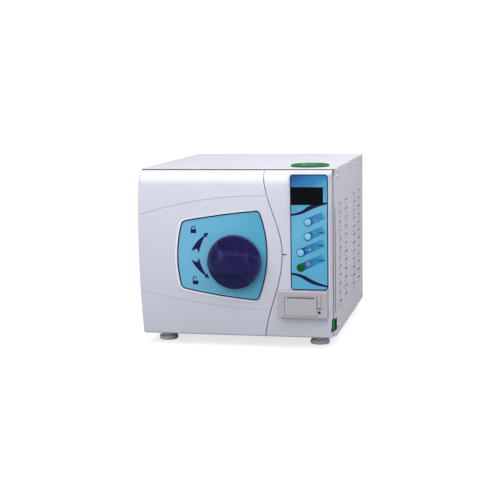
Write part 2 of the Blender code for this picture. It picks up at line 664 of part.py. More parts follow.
def make_knob():
    pivot = (KNOB_X, KNOB_BACK_Y, KNOB_Z)
    knob_axis = {"axis": (0, 1, 0), "centre": (KNOB_X, 0.0, KNOB_Z)}
    profile = ((0.0, KNOB_BACK_Y), (58.0, KNOB_BACK_Y), (KNOB_R, -51.5), (KNOB_R, -58.0), (59.0, -66.0),
               (54.0, -74.0), (45.0, -82.0), (32.0, -88.5), (16.0, -92.2), (0.0, KNOB_FRONT_Y))
    knob = finish_object("lock_knob", lathe(profile, 40, **knob_axis), "knob_plastic", pivot)
    for turn in (1.0, -1.0):
        cut(knob, prism(scoop_outline(turn), -110.0, -64.0, facing_front))
    cut(knob, cylinder(SPINDLE_R + 0.3, -66.0, -40.0, 28, **knob_axis))

    gear = prism([(KNOB_X + u, KNOB_Z + v) for u, v in pinion_outline()], *BOLT_Y, facing_front)
    spindle = finish_object("knob_spindle", gear, "steel", pivot)
    join(spindle, cylinder(SPINDLE_R, -65.5, -17.5, 28, **knob_axis))
    rack = prism(rack_outline(), *BOLT_Y, facing_front)
    finish_object("latch_bolt", rack, "steel", (BOLT_X[0], BOLT_Y[0], BOLT_TOP_Z))


# ---------------------------------------------------------------- control fascia

def pad_block():
    """Raised pad whose flat face carries the overlay; its edge is chamfered."""
    shape = bmesh.new()
    rows = []
    levels = ((FRONT_BULGE_Y, 0.0), (FRONT_BULGE_Y + PAD_CHAMFER, PAD_SPREAD), (-20.0, PAD_SPREAD))
    for y, out in levels:
        corners = ((PAD_X[0] - out, PAD_Z[0] - out), (PAD_X[1] + out, PAD_Z[0] - out),
                   (PAD_X[1] + out, PAD_Z[1] + out), (PAD_X[0] - out, PAD_Z[1] + out))
        rows.append([shape.verts.new((x, y, z)) for x, z in corners])
    for low, high in zip(rows, rows[1:]):
        for i in range(4):
            k = (i + 1) % 4
            shape.faces.new((low[i], low[k], high[k], high[i]))
    shape.faces.new(rows[0])
    shape.faces.new(rows[-1][::-1])
    return shape


def make_fascia():
    def left(z):
        return seam_x(z) + SEAM_GAP / 2.0

    shape = front_block(left, lambda _z: FRONT_RIGHT_X, 0.0, FRONT_BACK_Y)
    fascia = finish_object("control_fascia", shape, "front_plastic")
    join(fascia, pad_block())
    cut(fascia, front_block(lambda z: left(z) + FASCIA_WALL, lambda _z: FRONT_RIGHT_X - FASCIA_WALL,
                            FASCIA_WALL, 20.0))
    cut(fascia, box((PAD_X[0], PAD_X[1]), (-43.0, 5.0), (PAD_Z[0], PAD_Z[1])))
    cut(fascia, box((DISPLAY_X[0] + 1.0, DISPLAY_X[1] - 1.0), (-60.0, -30.0),
                    (DISPLAY_Z[0] + 1.0, DISPLAY_Z[1] - 1.0)))
    cut(fascia, box((PRINTER_X[0] - GAP, PRINTER_X[1] + GAP), (-60.0, 5.0),
                    (PRINTER_Z[0] - GAP, PRINTER_Z[1] + GAP)))
    cut(fascia, box((SWITCH_FRONT_X - GAP, 230.0), (SWITCH_Y[0] - GAP, 5.0),
                    (SWITCH_Z[0] - GAP, SWITCH_Z[1] + GAP)))

    overlay = finish_object("overlay_panel", prism(rounded_rectangle(OVERLAY_X, OVERLAY_Z, 8.0), *OVERLAY_Y,
                                                   facing_front), "label_blue")
    window = ((DISPLAY_X[0] - GAP, DISPLAY_X[1] + GAP), (-60.0, -30.0), (DISPLAY_Z[0] - GAP, DISPLAY_Z[1] + GAP))
    cut(overlay, box(*window))
    glass = finish_object("display_window", box(DISPLAY_X, (-47.2, -46.3), DISPLAY_Z), "display_black")
    join(glass, box((DISPLAY_X[0] + 2.0, DISPLAY_X[1] - 2.0), (-46.8, -36.0),
                    (DISPLAY_Z[0] + 2.0, DISPLAY_Z[1] - 2.0)))
    button = ((0.0, -49.6), (7.6, -49.6), (BUTTON_R, -48.4), (BUTTON_R, -42.6), (10.6, -42.6),
              (10.6, -41.2), (3.0, -41.2), (3.0, -35.6), (0.0, -35.6))
    for number, (x, z) in enumerate(BUTTONS, start=1):
        front = {"axis": (0, 1, 0), "centre": (x, 0.0, z)}
        cut(fascia, cylinder(BUTTON_R + 0.45, -60.0, -30.0, 24, **front))
        cut(overlay, cylinder(BUTTON_R + 0.45, -60.0, -30.0, 24, **front))
        finish_object(f"button_{number}", lathe(button, 16, **front), "button_green", (x, -46.0, z))
    board = finish_object("control_board", box((130.0, 212.0), (-33.0, -31.4), (130.0, 350.0)), "board_green")
    for x, z in BUTTONS:
        join(board, box((x - 3.0, x + 3.0), (-34.0, -32.0), (z - 3.0, z + 3.0)))


def make_printer():
    x, z = PRINTER_X, PRINTER_Z
    bezel = finish_object("printer_bezel", box(x, PRINTER_Y, z), "printer_grey")
    cut(bezel, box((x[0] + 2.5, x[1] - 2.5), (-46.3, -11.0), (z[0] + 2.5, z[1] - 2.5)))
    cut(bezel, box((PAPER_DOOR_X[0] - 0.5, PAPER_DOOR_X[1] + 0.5), (-60.0, -40.0),
                   (PAPER_DOOR_Z[0] - 0.6, PAPER_DOOR_Z[1] + 0.6)))
    cut(bezel, box((LATCH_X[0] - 0.4, LATCH_X[1] + 0.4), (-60.0, -40.0), (69.0, LATCH_Z[1] + 0.5)))
    key_axis = {"axis": (0, 1, 0), "centre": (FEED_KEY[0], 0.0, FEED_KEY[1])}
    cut(bezel, cylinder(3.5, -60.0, -40.0, 16, **key_axis))

    door_pivot = (sum(PAPER_DOOR_X) / 2.0, PAPER_DOOR_Y[0], PAPER_DOOR_Z[0])
    door = finish_object("printer_door", box(PAPER_DOOR_X, PAPER_DOOR_Y, PAPER_DOOR_Z), "printer_grey", door_pivot)
    cut(door, box((119.0, 183.5), (-60.0, -40.0), (95.0, 97.0)))
    roll = {"axis": (1, 0, 0), "centre": (0.0, -28.0, 79.0)}
    finish_object("paper_roll", tube(6.0, 15.0, 122.0, 180.0, 28, **roll), "paper")
    latch = finish_object("printer_latch", box(LATCH_X, (-49.8, -45.4), LATCH_Z), "printer_grey",
                          (LATCH_X[0], -47.0, LATCH_Z[0]))
    for row in range(3):
        rib = LATCH_Z[0] + 6.0 + 4.0 * row
        cut(latch, box((LATCH_X[0] - 1.0, LATCH_X[1] + 1.0), (-52.0, -49.2), (rib, rib + 1.6)))
    key = ((0.0, -49.9), (3.0, -49.9), (3.0, -45.8), (4.2, -45.8), (4.2, -44.8), (0.0, -44.8))
    finish_object("printer_feed_key", lathe(key, 16, **key_axis), "black_plastic",
                  (FEED_KEY[0], -47.0, FEED_KEY[1]))


def on_switch_face(out, along):
    """Plan position (x, y) out from the switch's slanted face and along it from its middle."""
    middle_x = (SWITCH_FRONT_X + SWITCH_X[1]) / 2.0
    middle_y = (SWITCH_Y[0] + SWITCH_Y[1]) / 2.0
    return (middle_x + out * cos(SWITCH_SLANT) + along * sin(SWITCH_SLANT),
            middle_y - out * sin(SWITCH_SLANT) + along * cos(SWITCH_SLANT))


def rocker_outline():
    """V-faced rocker about its pivot, pressed in at the end away from the cabinet's front."""
    corners = ((6.8, -10.5), (5.2, 0.0), (6.8, 10.5), (-2.5, 10.5), (-6.0, 4.0), (-6.0, -4.0), (-2.5, -10.5))
    turned = []
    for u, v in corners:
        out = u * cos(ROCKER_TILT) - v * sin(ROCKER_TILT)
        along = u * sin(ROCKER_TILT) + v * cos(ROCKER_TILT)
        turned.append(on_switch_face(out - ROCKER_INSET, along))
    return turned


def in_plan(u, v, w):
    return (u, v, w)


def make_power_switch():
    """Rocker switch whose slanted bezel bridges the fascia's side wall and the side panel."""
    outline = ((SWITCH_X[0], SWITCH_Y[0]), (SWITCH_FRONT_X, SWITCH_Y[0]), (SWITCH_X[1], SWITCH_Y[1]),
               (SWITCH_X[0], SWITCH_Y[1]))
    bezel = finish_object("switch_bezel", prism(outline, *SWITCH_Z, in_plan), "black_plastic")
    slot = [on_switch_face(out, along) for out, along in ((-14.5, ROCKER_SLOT[0]), (5.0, ROCKER_SLOT[0]),
                                                          (5.0, ROCKER_SLOT[1]), (-14.5, ROCKER_SLOT[1]))]
    cut(bezel, prism(slot, ROCKER_Z[0] - 0.4, ROCKER_Z[1] + 0.4, in_plan))
    pivot = (*on_switch_face(-ROCKER_INSET, 0.0), sum(ROCKER_Z) / 2.0)
    finish_object("power_rocker", prism(rocker_outline(), *ROCKER_Z, in_plan), "green_plastic", pivot)


# ---------------------------------------------------------------- water, vacuum and steam

def make_filler():
    at = {"centre": (FILLER_X, FILLER_Y, 0.0)}
    neck = ((34.0, 352.0), (37.5, 352.0), (37.5, 380.3), (42.5, 380.3), (42.5, 381.3), (34.0, 381.3))
    finish_object("filler_neck", lathe(neck, 28, ring=True, **at), "black_plastic")
    cap = ((0.0, 374.0), (24.0, 374.0), (27.0, 376.0), (31.0, 384.0), (33.0, 385.0), (42.5, 385.0),
           (CAP_R, 383.6), (CAP_R, 381.6), (31.0, 381.6), (31.0, 366.0), (0.0, 366.0))
    pivot = (FILLER_X, FILLER_Y, 381.6)
    finish_object("filler_cap", lathe(cap, 28, **at), "green_plastic", pivot)
    finish_object("cap_seal", tube(31.4, 33.4, 368.0, 372.0, 28, **at), "rubber", pivot)


def make_tank(name, x, y, z, mouth_at, mouth_r):
    """Blow-moulded tank with a round mouth in its top."""
    tank = finish_object(name, box(x, y, z), "tank_plastic")
    inside = [(low + TANK_WALL, high - TANK_WALL) for low, high in (x, y, z)]
    cut(tank, box(*inside))
    cut(tank, cylinder(mouth_r, z[1] - 10.0, z[1] + 5.0, 24, centre=(*mouth_at, 0.0)))


def make_services():
    make_tank("water_tank", (92.0, 214.0), (12.0, 205.0), (212.0, 351.5), (FILLER_X, FILLER_Y), 34.0)
    make_tank("waste_tank", (92.0, 214.0), (18.0, 205.0), (60.0, 205.0), (120.0, 150.0), 14.0)

    pump = finish_object("vacuum_pump", box((95.0, 190.0), (225.0, 300.0), (2.0, 90.0)), "pump_grey")
    join(pump, cylinder(34.0, 290.0, 380.0, 28, axis=(0, 1, 0), centre=(142.0, 0.0, 48.0)))
    join(pump, cylinder(12.0, 80.0, 112.0, 20, centre=(142.0, 255.0, 0.0)))
    boiler = ((0.0, 140.0), (38.0, 140.0), (45.0, 148.0), (45.0, 300.0), (38.0, 308.0), (8.0, 308.0),
              (8.0, 325.0), (0.0, 325.0))
    finish_object("steam_generator", lathe(boiler, 24, centre=(146.0, 290.0, 0.0)), "steel")

    condenser = finish_object("condenser", box((FAN_X - 60.0, FAN_X + 60.0), (430.0, 466.0), (130.0, 246.0)),
                              "galvanised")
    gaps = []
    for i in range(14):
        x = FAN_X - 56.0 + 8.0 * i
        gaps.append(((x, x + 5.5), (420.0, 460.0), (134.0, 242.0)))
    cut(condenser, boxes(gaps))

    fan_axis = {"axis": (0, 1, 0), "centre": (FAN_X, 0.0, FAN_Z)}
    square = ((FAN_X - 40.0, FAN_X + 40.0), (472.5, 498.0), (FAN_Z - 40.0, FAN_Z + 40.0))
    frame = finish_object("fan_frame", box(*square), "black_plastic")
    cut(frame, cylinder(37.5, 465.0, 505.0, 36, **fan_axis))
    join(frame, box((FAN_X - 39.0, FAN_X + 39.0), (473.0, 475.0), (FAN_Z - 3.0, FAN_Z + 3.0)))
    rotor = finish_object("fan_rotor", cylinder(14.0, 477.0, 495.0, 24, **fan_axis), "black_plastic",
                          (FAN_X, FAN_MID_Y, FAN_Z))
    for number in range(FAN_BLADES):
        blade = box((10.0, 35.0), (-8.5, 8.5), (-1.0, 1.0))
        pitch = Matrix.Rotation(radians(35.0), 4, 'X')
        around = Matrix.Rotation(2.0 * pi * number / FAN_BLADES, 4, 'Y')
        place = Matrix.Translation((FAN_X, FAN_MID_Y, FAN_Z)) @ around @ pitch
        bmesh.ops.transform(blade, matrix=place, verts=blade.verts)
        join(rotor, blade)


def make_rear_fittings():
    valve = ((0.0, 440.0), (6.0, 440.0), (6.0, 500.3), (14.0, 500.3), (14.0, 506.0), (9.0, 507.0),
             (9.0, REAR_FITTING_Y), (0.0, REAR_FITTING_Y))
    finish_object("safety_valve", lathe(valve, 20, axis=(0, 1, 0), centre=(VALVE[0], 0.0, VALVE[1])), "brass")
    drain = ((0.0, 470.0), (8.0, 470.0), (8.0, 500.3), (12.0, 500.3), (12.0, 504.0), (7.0, 505.0),
             (7.0, REAR_FITTING_Y), (0.0, REAR_FITTING_Y))
    finish_object("drain_coupling", lathe(drain, 20, axis=(0, 1, 0), centre=(DRAIN[0], 0.0, DRAIN[1])), "brass")
    x, z = INLET_X, INLET_Z
    inlet = finish_object("power_inlet", box(x, (475.0, 500.0), z), "black_plastic")
    join(inlet, box((x[0] - 4.0, x[1] + 4.0), (500.3, 503.0), (z[0] - 4.0, z[1] + 4.0)),
         box((x[0] + 1.0, x[1] - 1.0), (499.0, 501.0), (z[0] + 1.0, z[1] - 1.0)))
    cut(inlet, box((158.5, 181.5), (486.0, 510.0), (66.0, 86.0)))


def main():
    clear_scene()
    make_cabinet()
    make_chamber()
    make_trays()
    make_door_shell()
    make_door_works()
    make_knob()
    make_fascia()
    make_printer()
    make_power_switch()
    make_filler()
    make_services()
    make_rear_fittings()


main()
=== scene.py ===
"""Looks of the benchtop autoclave: camera, light, moulded front, louvred sheet metal, graphics, works.

Shapes are written in millimetres in the cabinet's own frame (x = 0 its middle, y = 0 its front edge,
z = 0 the underside of its base pan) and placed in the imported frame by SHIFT, which is read from it.
"""

from math import atan2, cos, hypot, pi, radians, sin, sqrt

import bmesh
import bpy
from mathutils import Matrix, Vector


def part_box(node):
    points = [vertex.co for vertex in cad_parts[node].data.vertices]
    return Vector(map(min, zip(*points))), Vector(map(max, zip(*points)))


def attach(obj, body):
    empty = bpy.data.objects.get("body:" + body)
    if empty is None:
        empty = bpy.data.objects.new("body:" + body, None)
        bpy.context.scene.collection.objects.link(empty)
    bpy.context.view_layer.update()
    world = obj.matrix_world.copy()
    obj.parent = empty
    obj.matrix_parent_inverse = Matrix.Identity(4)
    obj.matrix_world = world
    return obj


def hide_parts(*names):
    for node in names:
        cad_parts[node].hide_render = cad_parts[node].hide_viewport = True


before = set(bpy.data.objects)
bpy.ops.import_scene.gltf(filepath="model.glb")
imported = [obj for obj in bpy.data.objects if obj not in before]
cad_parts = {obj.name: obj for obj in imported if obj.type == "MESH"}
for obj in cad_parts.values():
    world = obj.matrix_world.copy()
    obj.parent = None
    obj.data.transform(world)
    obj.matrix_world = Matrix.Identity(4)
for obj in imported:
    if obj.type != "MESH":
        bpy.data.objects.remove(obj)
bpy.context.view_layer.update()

MM = 0.001
SHIFT = Vector((0.0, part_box("top_cover")[0].y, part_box("base_pan")[0].z))


def cad(node):
    """A CAD node's (x, y, z) ranges in cabinet millimetres."""
    low, high = ((corner - SHIFT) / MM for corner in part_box(node))
    return (low.x, high.x), (low.y, high.y), (low.z, high.z)


def middle(node):
    return Vector([(low + high) / 2.0 for low, high in cad(node)])


COVER_X, COVER_Y, COVER_Z = cad("top_cover")
HALF_WIDTH = COVER_X[1]
DEPTH = COVER_Y[1]
TOP_Z = COVER_Z[1]
FLANGE_Z = COVER_Z[0]
SHEET = 1.2
FRONT_Y = cad("door_cover")[1]          # crest and back edge of the moulded front
FRONT_Z = cad("door_cover")[2]
FRONT_RIGHT = cad("control_fascia")[0][1]
KNOB = middle("lock_knob")
KNOB_R = (cad("lock_knob")[0][1] - cad("lock_knob")[0][0]) / 2.0
KNOB_FRONT, KNOB_BACK = cad("lock_knob")[1]

FRONT_RADIUS = 859.0
CREST_Z = 205.0
TOP_ROUND_Z = 346.0
TOP_ROUND_Y = -3.0
BOTTOM_ROUND = 5.0
WALL = 3.0
SEAM_GAP = 1.5
TOP_GAP = 1.3                           # dark gap between the moulding and the top cover's lip
HINGE_SLOTS = ((139.0, 161.0), (215.0, 237.0))
BUTTON_NUMBERS = (1, 2, 3, 4)
LABEL_DEPTH = 0.66                      # depth of the label's face, where its print lies
SLICE = 6.0                             # height of the strips that follow the bulged face
INK = 0.12                              # thickness of a printed mark
THIN_INK = 0.08
FIRST_PRINT = 0.02                      # heights of the overlay's layers of print above its film
SECOND_PRINT = 0.12
THIRD_PRINT = 0.22
BAND_WIDTH = 16.8
BAND_END_X = 203.6
THROUGH = (-60.0, -30.0)                # y range of a cutter that goes right through the moulded front
PRINTER_CUT = (-60.0, -40.0)

WORLD_LOW = 0.03                        # studio light at the horizon and overhead
WORLD_HIGH = 0.50
CAMERA_WHITE = 1.05                     # what the camera sees behind the object
FLOOR_GLOW = 0.74                       # what the camera sees added to the floor


# ---------------------------------------------------------------- materials

def srgb(red, green, blue):
    """Linear colour from 0-255 display values."""
    linear = []
    for value in (red, green, blue):
        share = value / 255.0
        linear.append(share / 12.92 if share <= 0.04045 else ((share + 0.055) / 1.055) ** 2.4)
    return (*linear, 1.0)


def add_node(tree, kind, inputs=(), **settings):
    """A shader node; inputs maps sockets to values or to the outputs that feed them."""
    made = tree.nodes.new("ShaderNode" + kind)
    for name, value in settings.items():
        setattr(made, name, value)
    for socket, value in dict(inputs).items():
        if isinstance(value, bpy.types.NodeSocket):
            tree.links.new(value, made.inputs[socket])
        else:
            made.inputs[socket].default_value = value
    return made


def surface(name, colour, roughness, metallic=0.0, shade=0.06, shade_scale=14.0, grain=0.0,
            grain_scale=900.0, rough_swing=0.08, stretch=(1.0, 1.0, 1.0), **sockets):
    """Principled material with soft colour drift, uneven gloss and a fine grain in the relief."""
    made = bpy.data.materials.new(name)
    made.use_nodes = True
    tree = made.node_tree
    shader = tree.nodes["Principled BSDF"]
    shader.inputs["Metallic"].default_value = metallic
    for socket, value in sockets.items():
        shader.inputs[socket.replace("_", " ")].default_value = value
    coords = add_node(tree, "TexCoord")
    mapping = add_node(tree, "Mapping", {"Scale": stretch, "Vector": coords.outputs["Object"]})
    place = mapping.outputs["Vector"]
    drift = add_node(tree, "TexNoise", {"Scale": shade_scale, "Detail": 4.0, "Vector": place}).outputs["Fac"]
    tint = add_node(tree, "ValToRGB", {"Fac": drift})
    dark, light = tint.color_ramp.elements
    dark.position, light.position = 0.3, 0.7
    dark.color = (*[c * (1.0 - shade) for c in colour[:3]], 1.0)
    light.color = (*[min(1.0, c * (1.0 + shade)) for c in colour[:3]], 1.0)
    tree.links.new(tint.outputs["Color"], shader.inputs["Base Color"])
    gloss = add_node(tree, "MapRange", {"To Min": max(0.02, roughness - rough_swing),
                                        "To Max": min(1.0, roughness + rough_swing), "Value": drift})
    tree.links.new(gloss.outputs["Result"], shader.inputs["Roughness"])
    if grain:
        fine = add_node(tree, "TexNoise", {"Scale": grain_scale, "Detail": 2.0, "Vector": place})
        bump = add_node(tree, "Bump", {"Strength": grain, "Distance": 0.0002, "Height": fine.outputs["Fac"]})
        tree.links.new(bump.outputs["Normal"], shader.inputs["Normal"])
    return made


def graded(name, stops, direction, span, roughness, **extra):
    """A surface whose base colour runs through stops along a direction, between two cabinet distances."""
    made = surface(name, srgb(*stops[0][1]), roughness, **extra)
    tree = made.node_tree
    coords = tree.nodes["Texture Coordinate"].outputs["Object"]
    along = add_node(tree, "VectorMath", {0: coords, 1: direction}, operation='DOT_PRODUCT')
    low, high = (distance * MM + SHIFT.dot(Vector(direction)) for distance in span)
    share = add_node(tree, "MapRange", {"From Min": low, "From Max": high, "Value": along.outputs["Value"]})
    ramp = add_node(tree, "ValToRGB", {"Fac": share.outputs["Result"]})
    ramp.color_ramp.interpolation = 'EASE'
    while len(ramp.color_ramp.elements) < len(stops):
        ramp.color_ramp.elements.new(0.5)
    for element, (position, colour) in zip(ramp.color_ramp.elements, stops):
        element.position = position
        element.color = srgb(*colour)
    tint = tree.nodes["Color Ramp"]
    for element, level in zip(tint.color_ramp.elements, (0.97, 1.0)):
        element.color = (level, level, level, 1.0)
    mix = add_node(tree, "Mix", {"Factor": 1.0, "A": ramp.outputs["Color"], "B": tint.outputs["Color"]},
                   data_type='RGBA', blend_type='MULTIPLY')
    tree.links.new(mix.outputs["Result"], tree.nodes["Principled BSDF"].inputs["Base Color"])
    return made


def ink(name, colour, roughness, specular, shade=0.03):
    """Smooth printed or moulded colour."""
    return surface(name, srgb(*colour), roughness, shade=shade, grain=0.05, Specular_IOR_Level=specular)


PAINT = surface("sheet_paint", srgb(214, 212, 222), 0.42, shade=0.015, grain=0.25, grain_scale=700.0)
MOULDING = surface("front_moulding", srgb(213, 215, 229), 0.34, shade=0.012, grain=0.12,
                   grain_scale=1200.0, rough_swing=0.04, Coat_Weight=0.15)
STEEL = surface("stainless", (0.58, 0.59, 0.61, 1.0), 0.28, 1.0, shade=0.05, grain=0.35,
                grain_scale=260.0, stretch=(1.0, 12.0, 1.0))
TURNED = surface("turned_steel", (0.62, 0.63, 0.65, 1.0), 0.22, 1.0, shade=0.05, grain=0.2)
ZINC = surface("zinc_plate", (0.50, 0.53, 0.57, 1.0), 0.42, 1.0, shade=0.12, shade_scale=60.0, grain=0.2)
ALLOY = surface("cast_alloy", (0.42, 0.43, 0.45, 1.0), 0.55, 0.8, shade=0.08, grain=0.5, grain_scale=500.0)
BRASS = surface("brass", (0.70, 0.50, 0.20, 1.0), 0.30, 1.0, shade=0.08, grain=0.15)
SCREW = surface("screw_steel", (0.72, 0.73, 0.76, 1.0), 0.25, 1.0, shade=0.05, grain=0.1)
KNOB_SKIN = surface("knob_gloss", srgb(32, 20, 70), 0.26, shade=0.05, grain=0.05, rough_swing=0.03,
                    Specular_IOR_Level=0.8, Specular_Tint=(0.25, 0.4, 1.0, 1.0))
NAVY = ink("navy_print", (34, 22, 74), 0.40, 0.15)
# Near-white colour of the raised lip beside the door label: a painted highlight, lighter than the moulding it
# belongs to.
LIP_PAINTED_HIGHLIGHT = surface("label_lip_painted_highlight", srgb(250, 250, 255), 0.35, shade=0.02, grain=0.03)
TO_THE_RIGHT = (1.0, 0.0, 0.0)
UP_TO_THE_LEFT = (-0.55, 0.0, 0.83)
PLATE_BLUE = graded("door_label_blue", ((0.0, (116, 188, 222)), (0.55, (104, 182, 216)),
                                        (1.0, (84, 170, 204))),
                    TO_THE_RIGHT, (-130.0, 80.0), 0.35, grain=0.08, Specular_IOR_Level=0.25)
OVERLAY_BLUE = graded("overlay_blue", ((0.0, (88, 174, 210)), (0.55, (108, 186, 222)), (0.72, (84, 168, 208)),
                                       (0.8, (56, 136, 190)), (1.0, (38, 86, 150))),
                      UP_TO_THE_LEFT, (20.0, 236.0), 0.32, grain=0.06, Specular_IOR_Level=0.2)
BAND_BLUE = graded("band_blue", ((0.0, (28, 84, 156)), (1.0, (66, 152, 202))),
                   TO_THE_RIGHT, (150.0, 208.0), 0.32, grain=0.06, Specular_IOR_Level=0.2)
DISPLAY = surface("display_glass", srgb(14, 16, 19), 0.12, shade=0.05, rough_swing=0.02,
                  Specular_IOR_Level=0.06)
KEY_PALE = ink("key_pale", (132, 204, 228), 0.30, 0.3)
KEY_RING = ink("key_ring", (190, 222, 240), 0.35, 0.3, 0.02)
KEY_BLUE = ink("key_blue", (30, 66, 132), 0.30, 0.2)
KEY_GREEN = ink("key_green", (16, 84, 32), 0.30, 0.15, 0.05)
MARK_RED = ink("mark_red", (166, 64, 72), 0.40, 0.2)
MARK_DARK = ink("mark_dark", (84, 34, 66), 0.40, 0.2)
CATCH_GREY = surface("catch_grey", srgb(108, 114, 136), 0.40, shade=0.04, grain=0.2)
PRINTER_SKIN = surface("printer_grey", srgb(180, 176, 184), 0.48, shade=0.02, grain=0.35, grain_scale=1500.0)
BLACK = surface("black_moulding", srgb(24, 24, 26), 0.45, shade=0.08, grain=0.3, grain_scale=1200.0)
CAP_GREEN = surface("cap_green", srgb(4, 118, 54), 0.22, shade=0.06, grain=0.05, Specular_IOR_Level=0.35)
ROCKER_GREEN = surface("rocker_green", srgb(2, 96, 44), 0.20, shade=0.08, grain=0.04, Coat_Weight=0.4,
                       Emission_Color=srgb(0, 190, 90), Emission_Strength=0.12)
FOOT_SKIN = surface("foot_rubber", srgb(244, 242, 250), 0.55, shade=0.04, grain=0.4, grain_scale=1100.0)
SILICONE = surface("silicone", srgb(206, 110, 84), 0.50, shade=0.05, grain=0.15, Subsurface_Weight=0.1)
PAPER = surface("paper", srgb(240, 238, 232), 0.85, shade=0.02, grain=0.2, grain_scale=2500.0)
BOARD = surface("solder_mask", srgb(20, 92, 48), 0.40, shade=0.1, shade_scale=200.0, grain=0.2)
TANK = surface("tank_plastic", srgb(222, 226, 228), 0.35, shade=0.03, grain=0.2, Subsurface_Weight=0.2)
BLANKET = surface("glass_fibre", srgb(196, 184, 150), 0.90, shade=0.18, shade_scale=90.0, grain=1.0,
                  grain_scale=300.0)


# ---------------------------------------------------------------- making pieces

def in_scene(name, data):
    obj = bpy.data.objects.new(name, data)
    bpy.context.scene.collection.objects.link(obj)
    return obj


def new_object(name, shape, material, outward=None):
    """Object from a bmesh in cabinet millimetres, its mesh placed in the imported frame.

    An open sheet has no inside, so outward says which way its largest face looks.
    """
    bmesh.ops.recalc_face_normals(shape, faces=shape.faces)
    if outward:
        largest = max(shape.faces, key=lambda face: face.calc_area())
        if largest.normal.dot(Vector(outward)) < 0.0:
            bmesh.ops.reverse_faces(shape, faces=shape.faces)
    for vert in shape.verts:
        vert.co = vert.co * MM + SHIFT
    mesh = bpy.data.meshes.new(name)
    shape.to_mesh(mesh)
    shape.free()
    mesh.materials.append(material)
    return in_scene(name, mesh)


def thicken(obj, wall):
    modifier = obj.modifiers.new("wall", 'SOLIDIFY')
    modifier.thickness = wall * MM
    modifier.offset = -1.0
    modifier.use_even_offset = True


def combine(obj, shape, operation='DIFFERENCE'):
    """Boolean with a throwaway shape, applied at once."""
    tool = new_object("tool", shape, obj.data.materials[0])
    modifier = obj.modifiers.new("tool", 'BOOLEAN')
    modifier.operation = operation
    modifier.solver = 'EXACT'
    modifier.object = tool
    settle(obj)
    mesh = tool.data
    bpy.data.objects.remove(tool)
    bpy.data.meshes.remove(mesh)


def settle(obj):
    """Apply the object's modifiers to its mesh."""
    graph = bpy.context.evaluated_depsgraph_get()
    mesh = bpy.data.meshes.new_from_object(obj.evaluated_get(graph))
    obj.modifiers.clear()
    old = obj.data
    obj.data = mesh
    bpy.data.meshes.remove(old)


def piece(obj, body, replaces=(), crease=32.0):
    """Final shading, body and replaced nodes of a finished piece."""
    if obj.modifiers:
        settle(obj)
    obj.data.shade_smooth()
    obj.data.set_sharp_from_angle(angle=radians(crease))
    even = obj.modifiers.new("even_shading", 'WEIGHTED_NORMAL')
    even.keep_sharp = True
    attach(obj, body)
    if replaces:
        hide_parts(*replaces)
    return obj


def add(name, shape, material, body, replaces=(), crease=32.0):
    """A finished piece straight from a shape."""
    return piece(new_object(name, shape, material), body, replaces, crease)


def add_shape(shape, other):
    """Append one bmesh to another and free it."""
    mesh = bpy.data.meshes.new("joined")
    other.to_mesh(mesh)
    other.free()
    shape.from_mesh(mesh)
    bpy.data.meshes.remove(mesh)
    return shape


def bridge(shape, rings):
    """Faces from each closed ring of vertices to the next; a ring may be one vertex repeated."""
    for low, high in zip(rings, rings[1:]):
        for i in range(len(low)):
            k = (i + 1) % len(low)
            shape.faces.new(list(dict.fromkeys((low[i], low[k], high[k], high[i]))))


def lathe(profile, sides, axis=(0, 0, 1), centre=(0, 0, 0), ring=False):
    """Turn (radius, height) points about an axis; ring closes the profile on itself."""
    shape = bmesh.new()
    rings = []
    for radius, height in profile:
        if radius == 0.0:
            rings.append([shape.verts.new((0.0, 0.0, height))] * sides)
            continue
        angles = [2.0 * pi * i / sides for i in range(sides)]
        rings.append([shape.verts.new((radius * cos(a), radius * sin(a), height)) for a in angles])
    bridge(shape, rings + rings[:1] if ring else rings)
    turn = Vector((0, 0, 1)).rotation_difference(Vector(axis)).to_matrix().to_4x4()
    matrix = Matrix.Translation(Vector(centre)) @ turn
    bmesh.ops.transform(shape, matrix=matrix, verts=shape.verts)
    return shape


def soft_profile(points, radius, steps=4):
    """Round every inner corner of an open (radius, height) profile."""
    made = [points[0]]
    for before, corner, after in zip(points, points[1:], points[2:]):
        here = Vector(corner)
        back = Vector(before) - here
        ahead = Vector(after) - here
        reach = min(radius, back.length * 0.45, ahead.length * 0.45)
        start = here + back.normalized() * reach
        end = here + ahead.normalized() * reach
        for i in range(steps + 1):
            t = i / steps
            made.append(tuple(start * (1 - t) ** 2 + here * 2 * t * (1 - t) + end * t ** 2))
    made.append(points[-1])
    return made


def box(x, y, z):
    shape = bmesh.new()
    bmesh.ops.create_cube(shape, size=1.0)
    for vert in shape.verts:
        sides = zip(vert.co, (x, y, z))
        vert.co = Vector([(low + high) / 2.0 + c * (high - low) for c, (low, high) in sides])
    return shape


def soften(shape, edges, radius, segments):
    """Round some of a shape's edges."""
    bmesh.ops.bevel(shape, geom=edges, offset=radius, segments=segments, profile=0.5, affect='EDGES')
    return shape


def rounded_box(x, y, z, radius, segments=3):
    shape = box(x, y, z)
    return soften(shape, shape.edges[:], radius, segments)


def wider(span, amount):
    """A (low, high) range grown by amount at both ends."""
    return span[0] - amount, span[1] + amount


def rod(x, z, radius, y, sides=40):
    """Cylinder along y at (x, z), over the range y."""
    return lathe(((0.0, y[0]), (radius, y[0]), (radius, y[1]), (0.0, y[1])), sides, (0, 1, 0), (x, 0, z))


def rectangle(x, z):
    return [(x[0], z[0]), (x[1], z[0]), (x[1], z[1]), (x[0], z[1])]


def curve_points(start, *pairs, steps=10):
    """Open chain of quadratic curves: start, then (control, end) pairs."""
    points = [start]
    here = Vector(start)
    for control, end in pairs:
        control, end = Vector(control), Vector(end)
        for i in range(1, steps + 1):
            t = i / steps
            points.append(tuple(here * (1 - t) ** 2 + control * 2 * t * (1 - t) + end * t ** 2))
        here = end
    return points


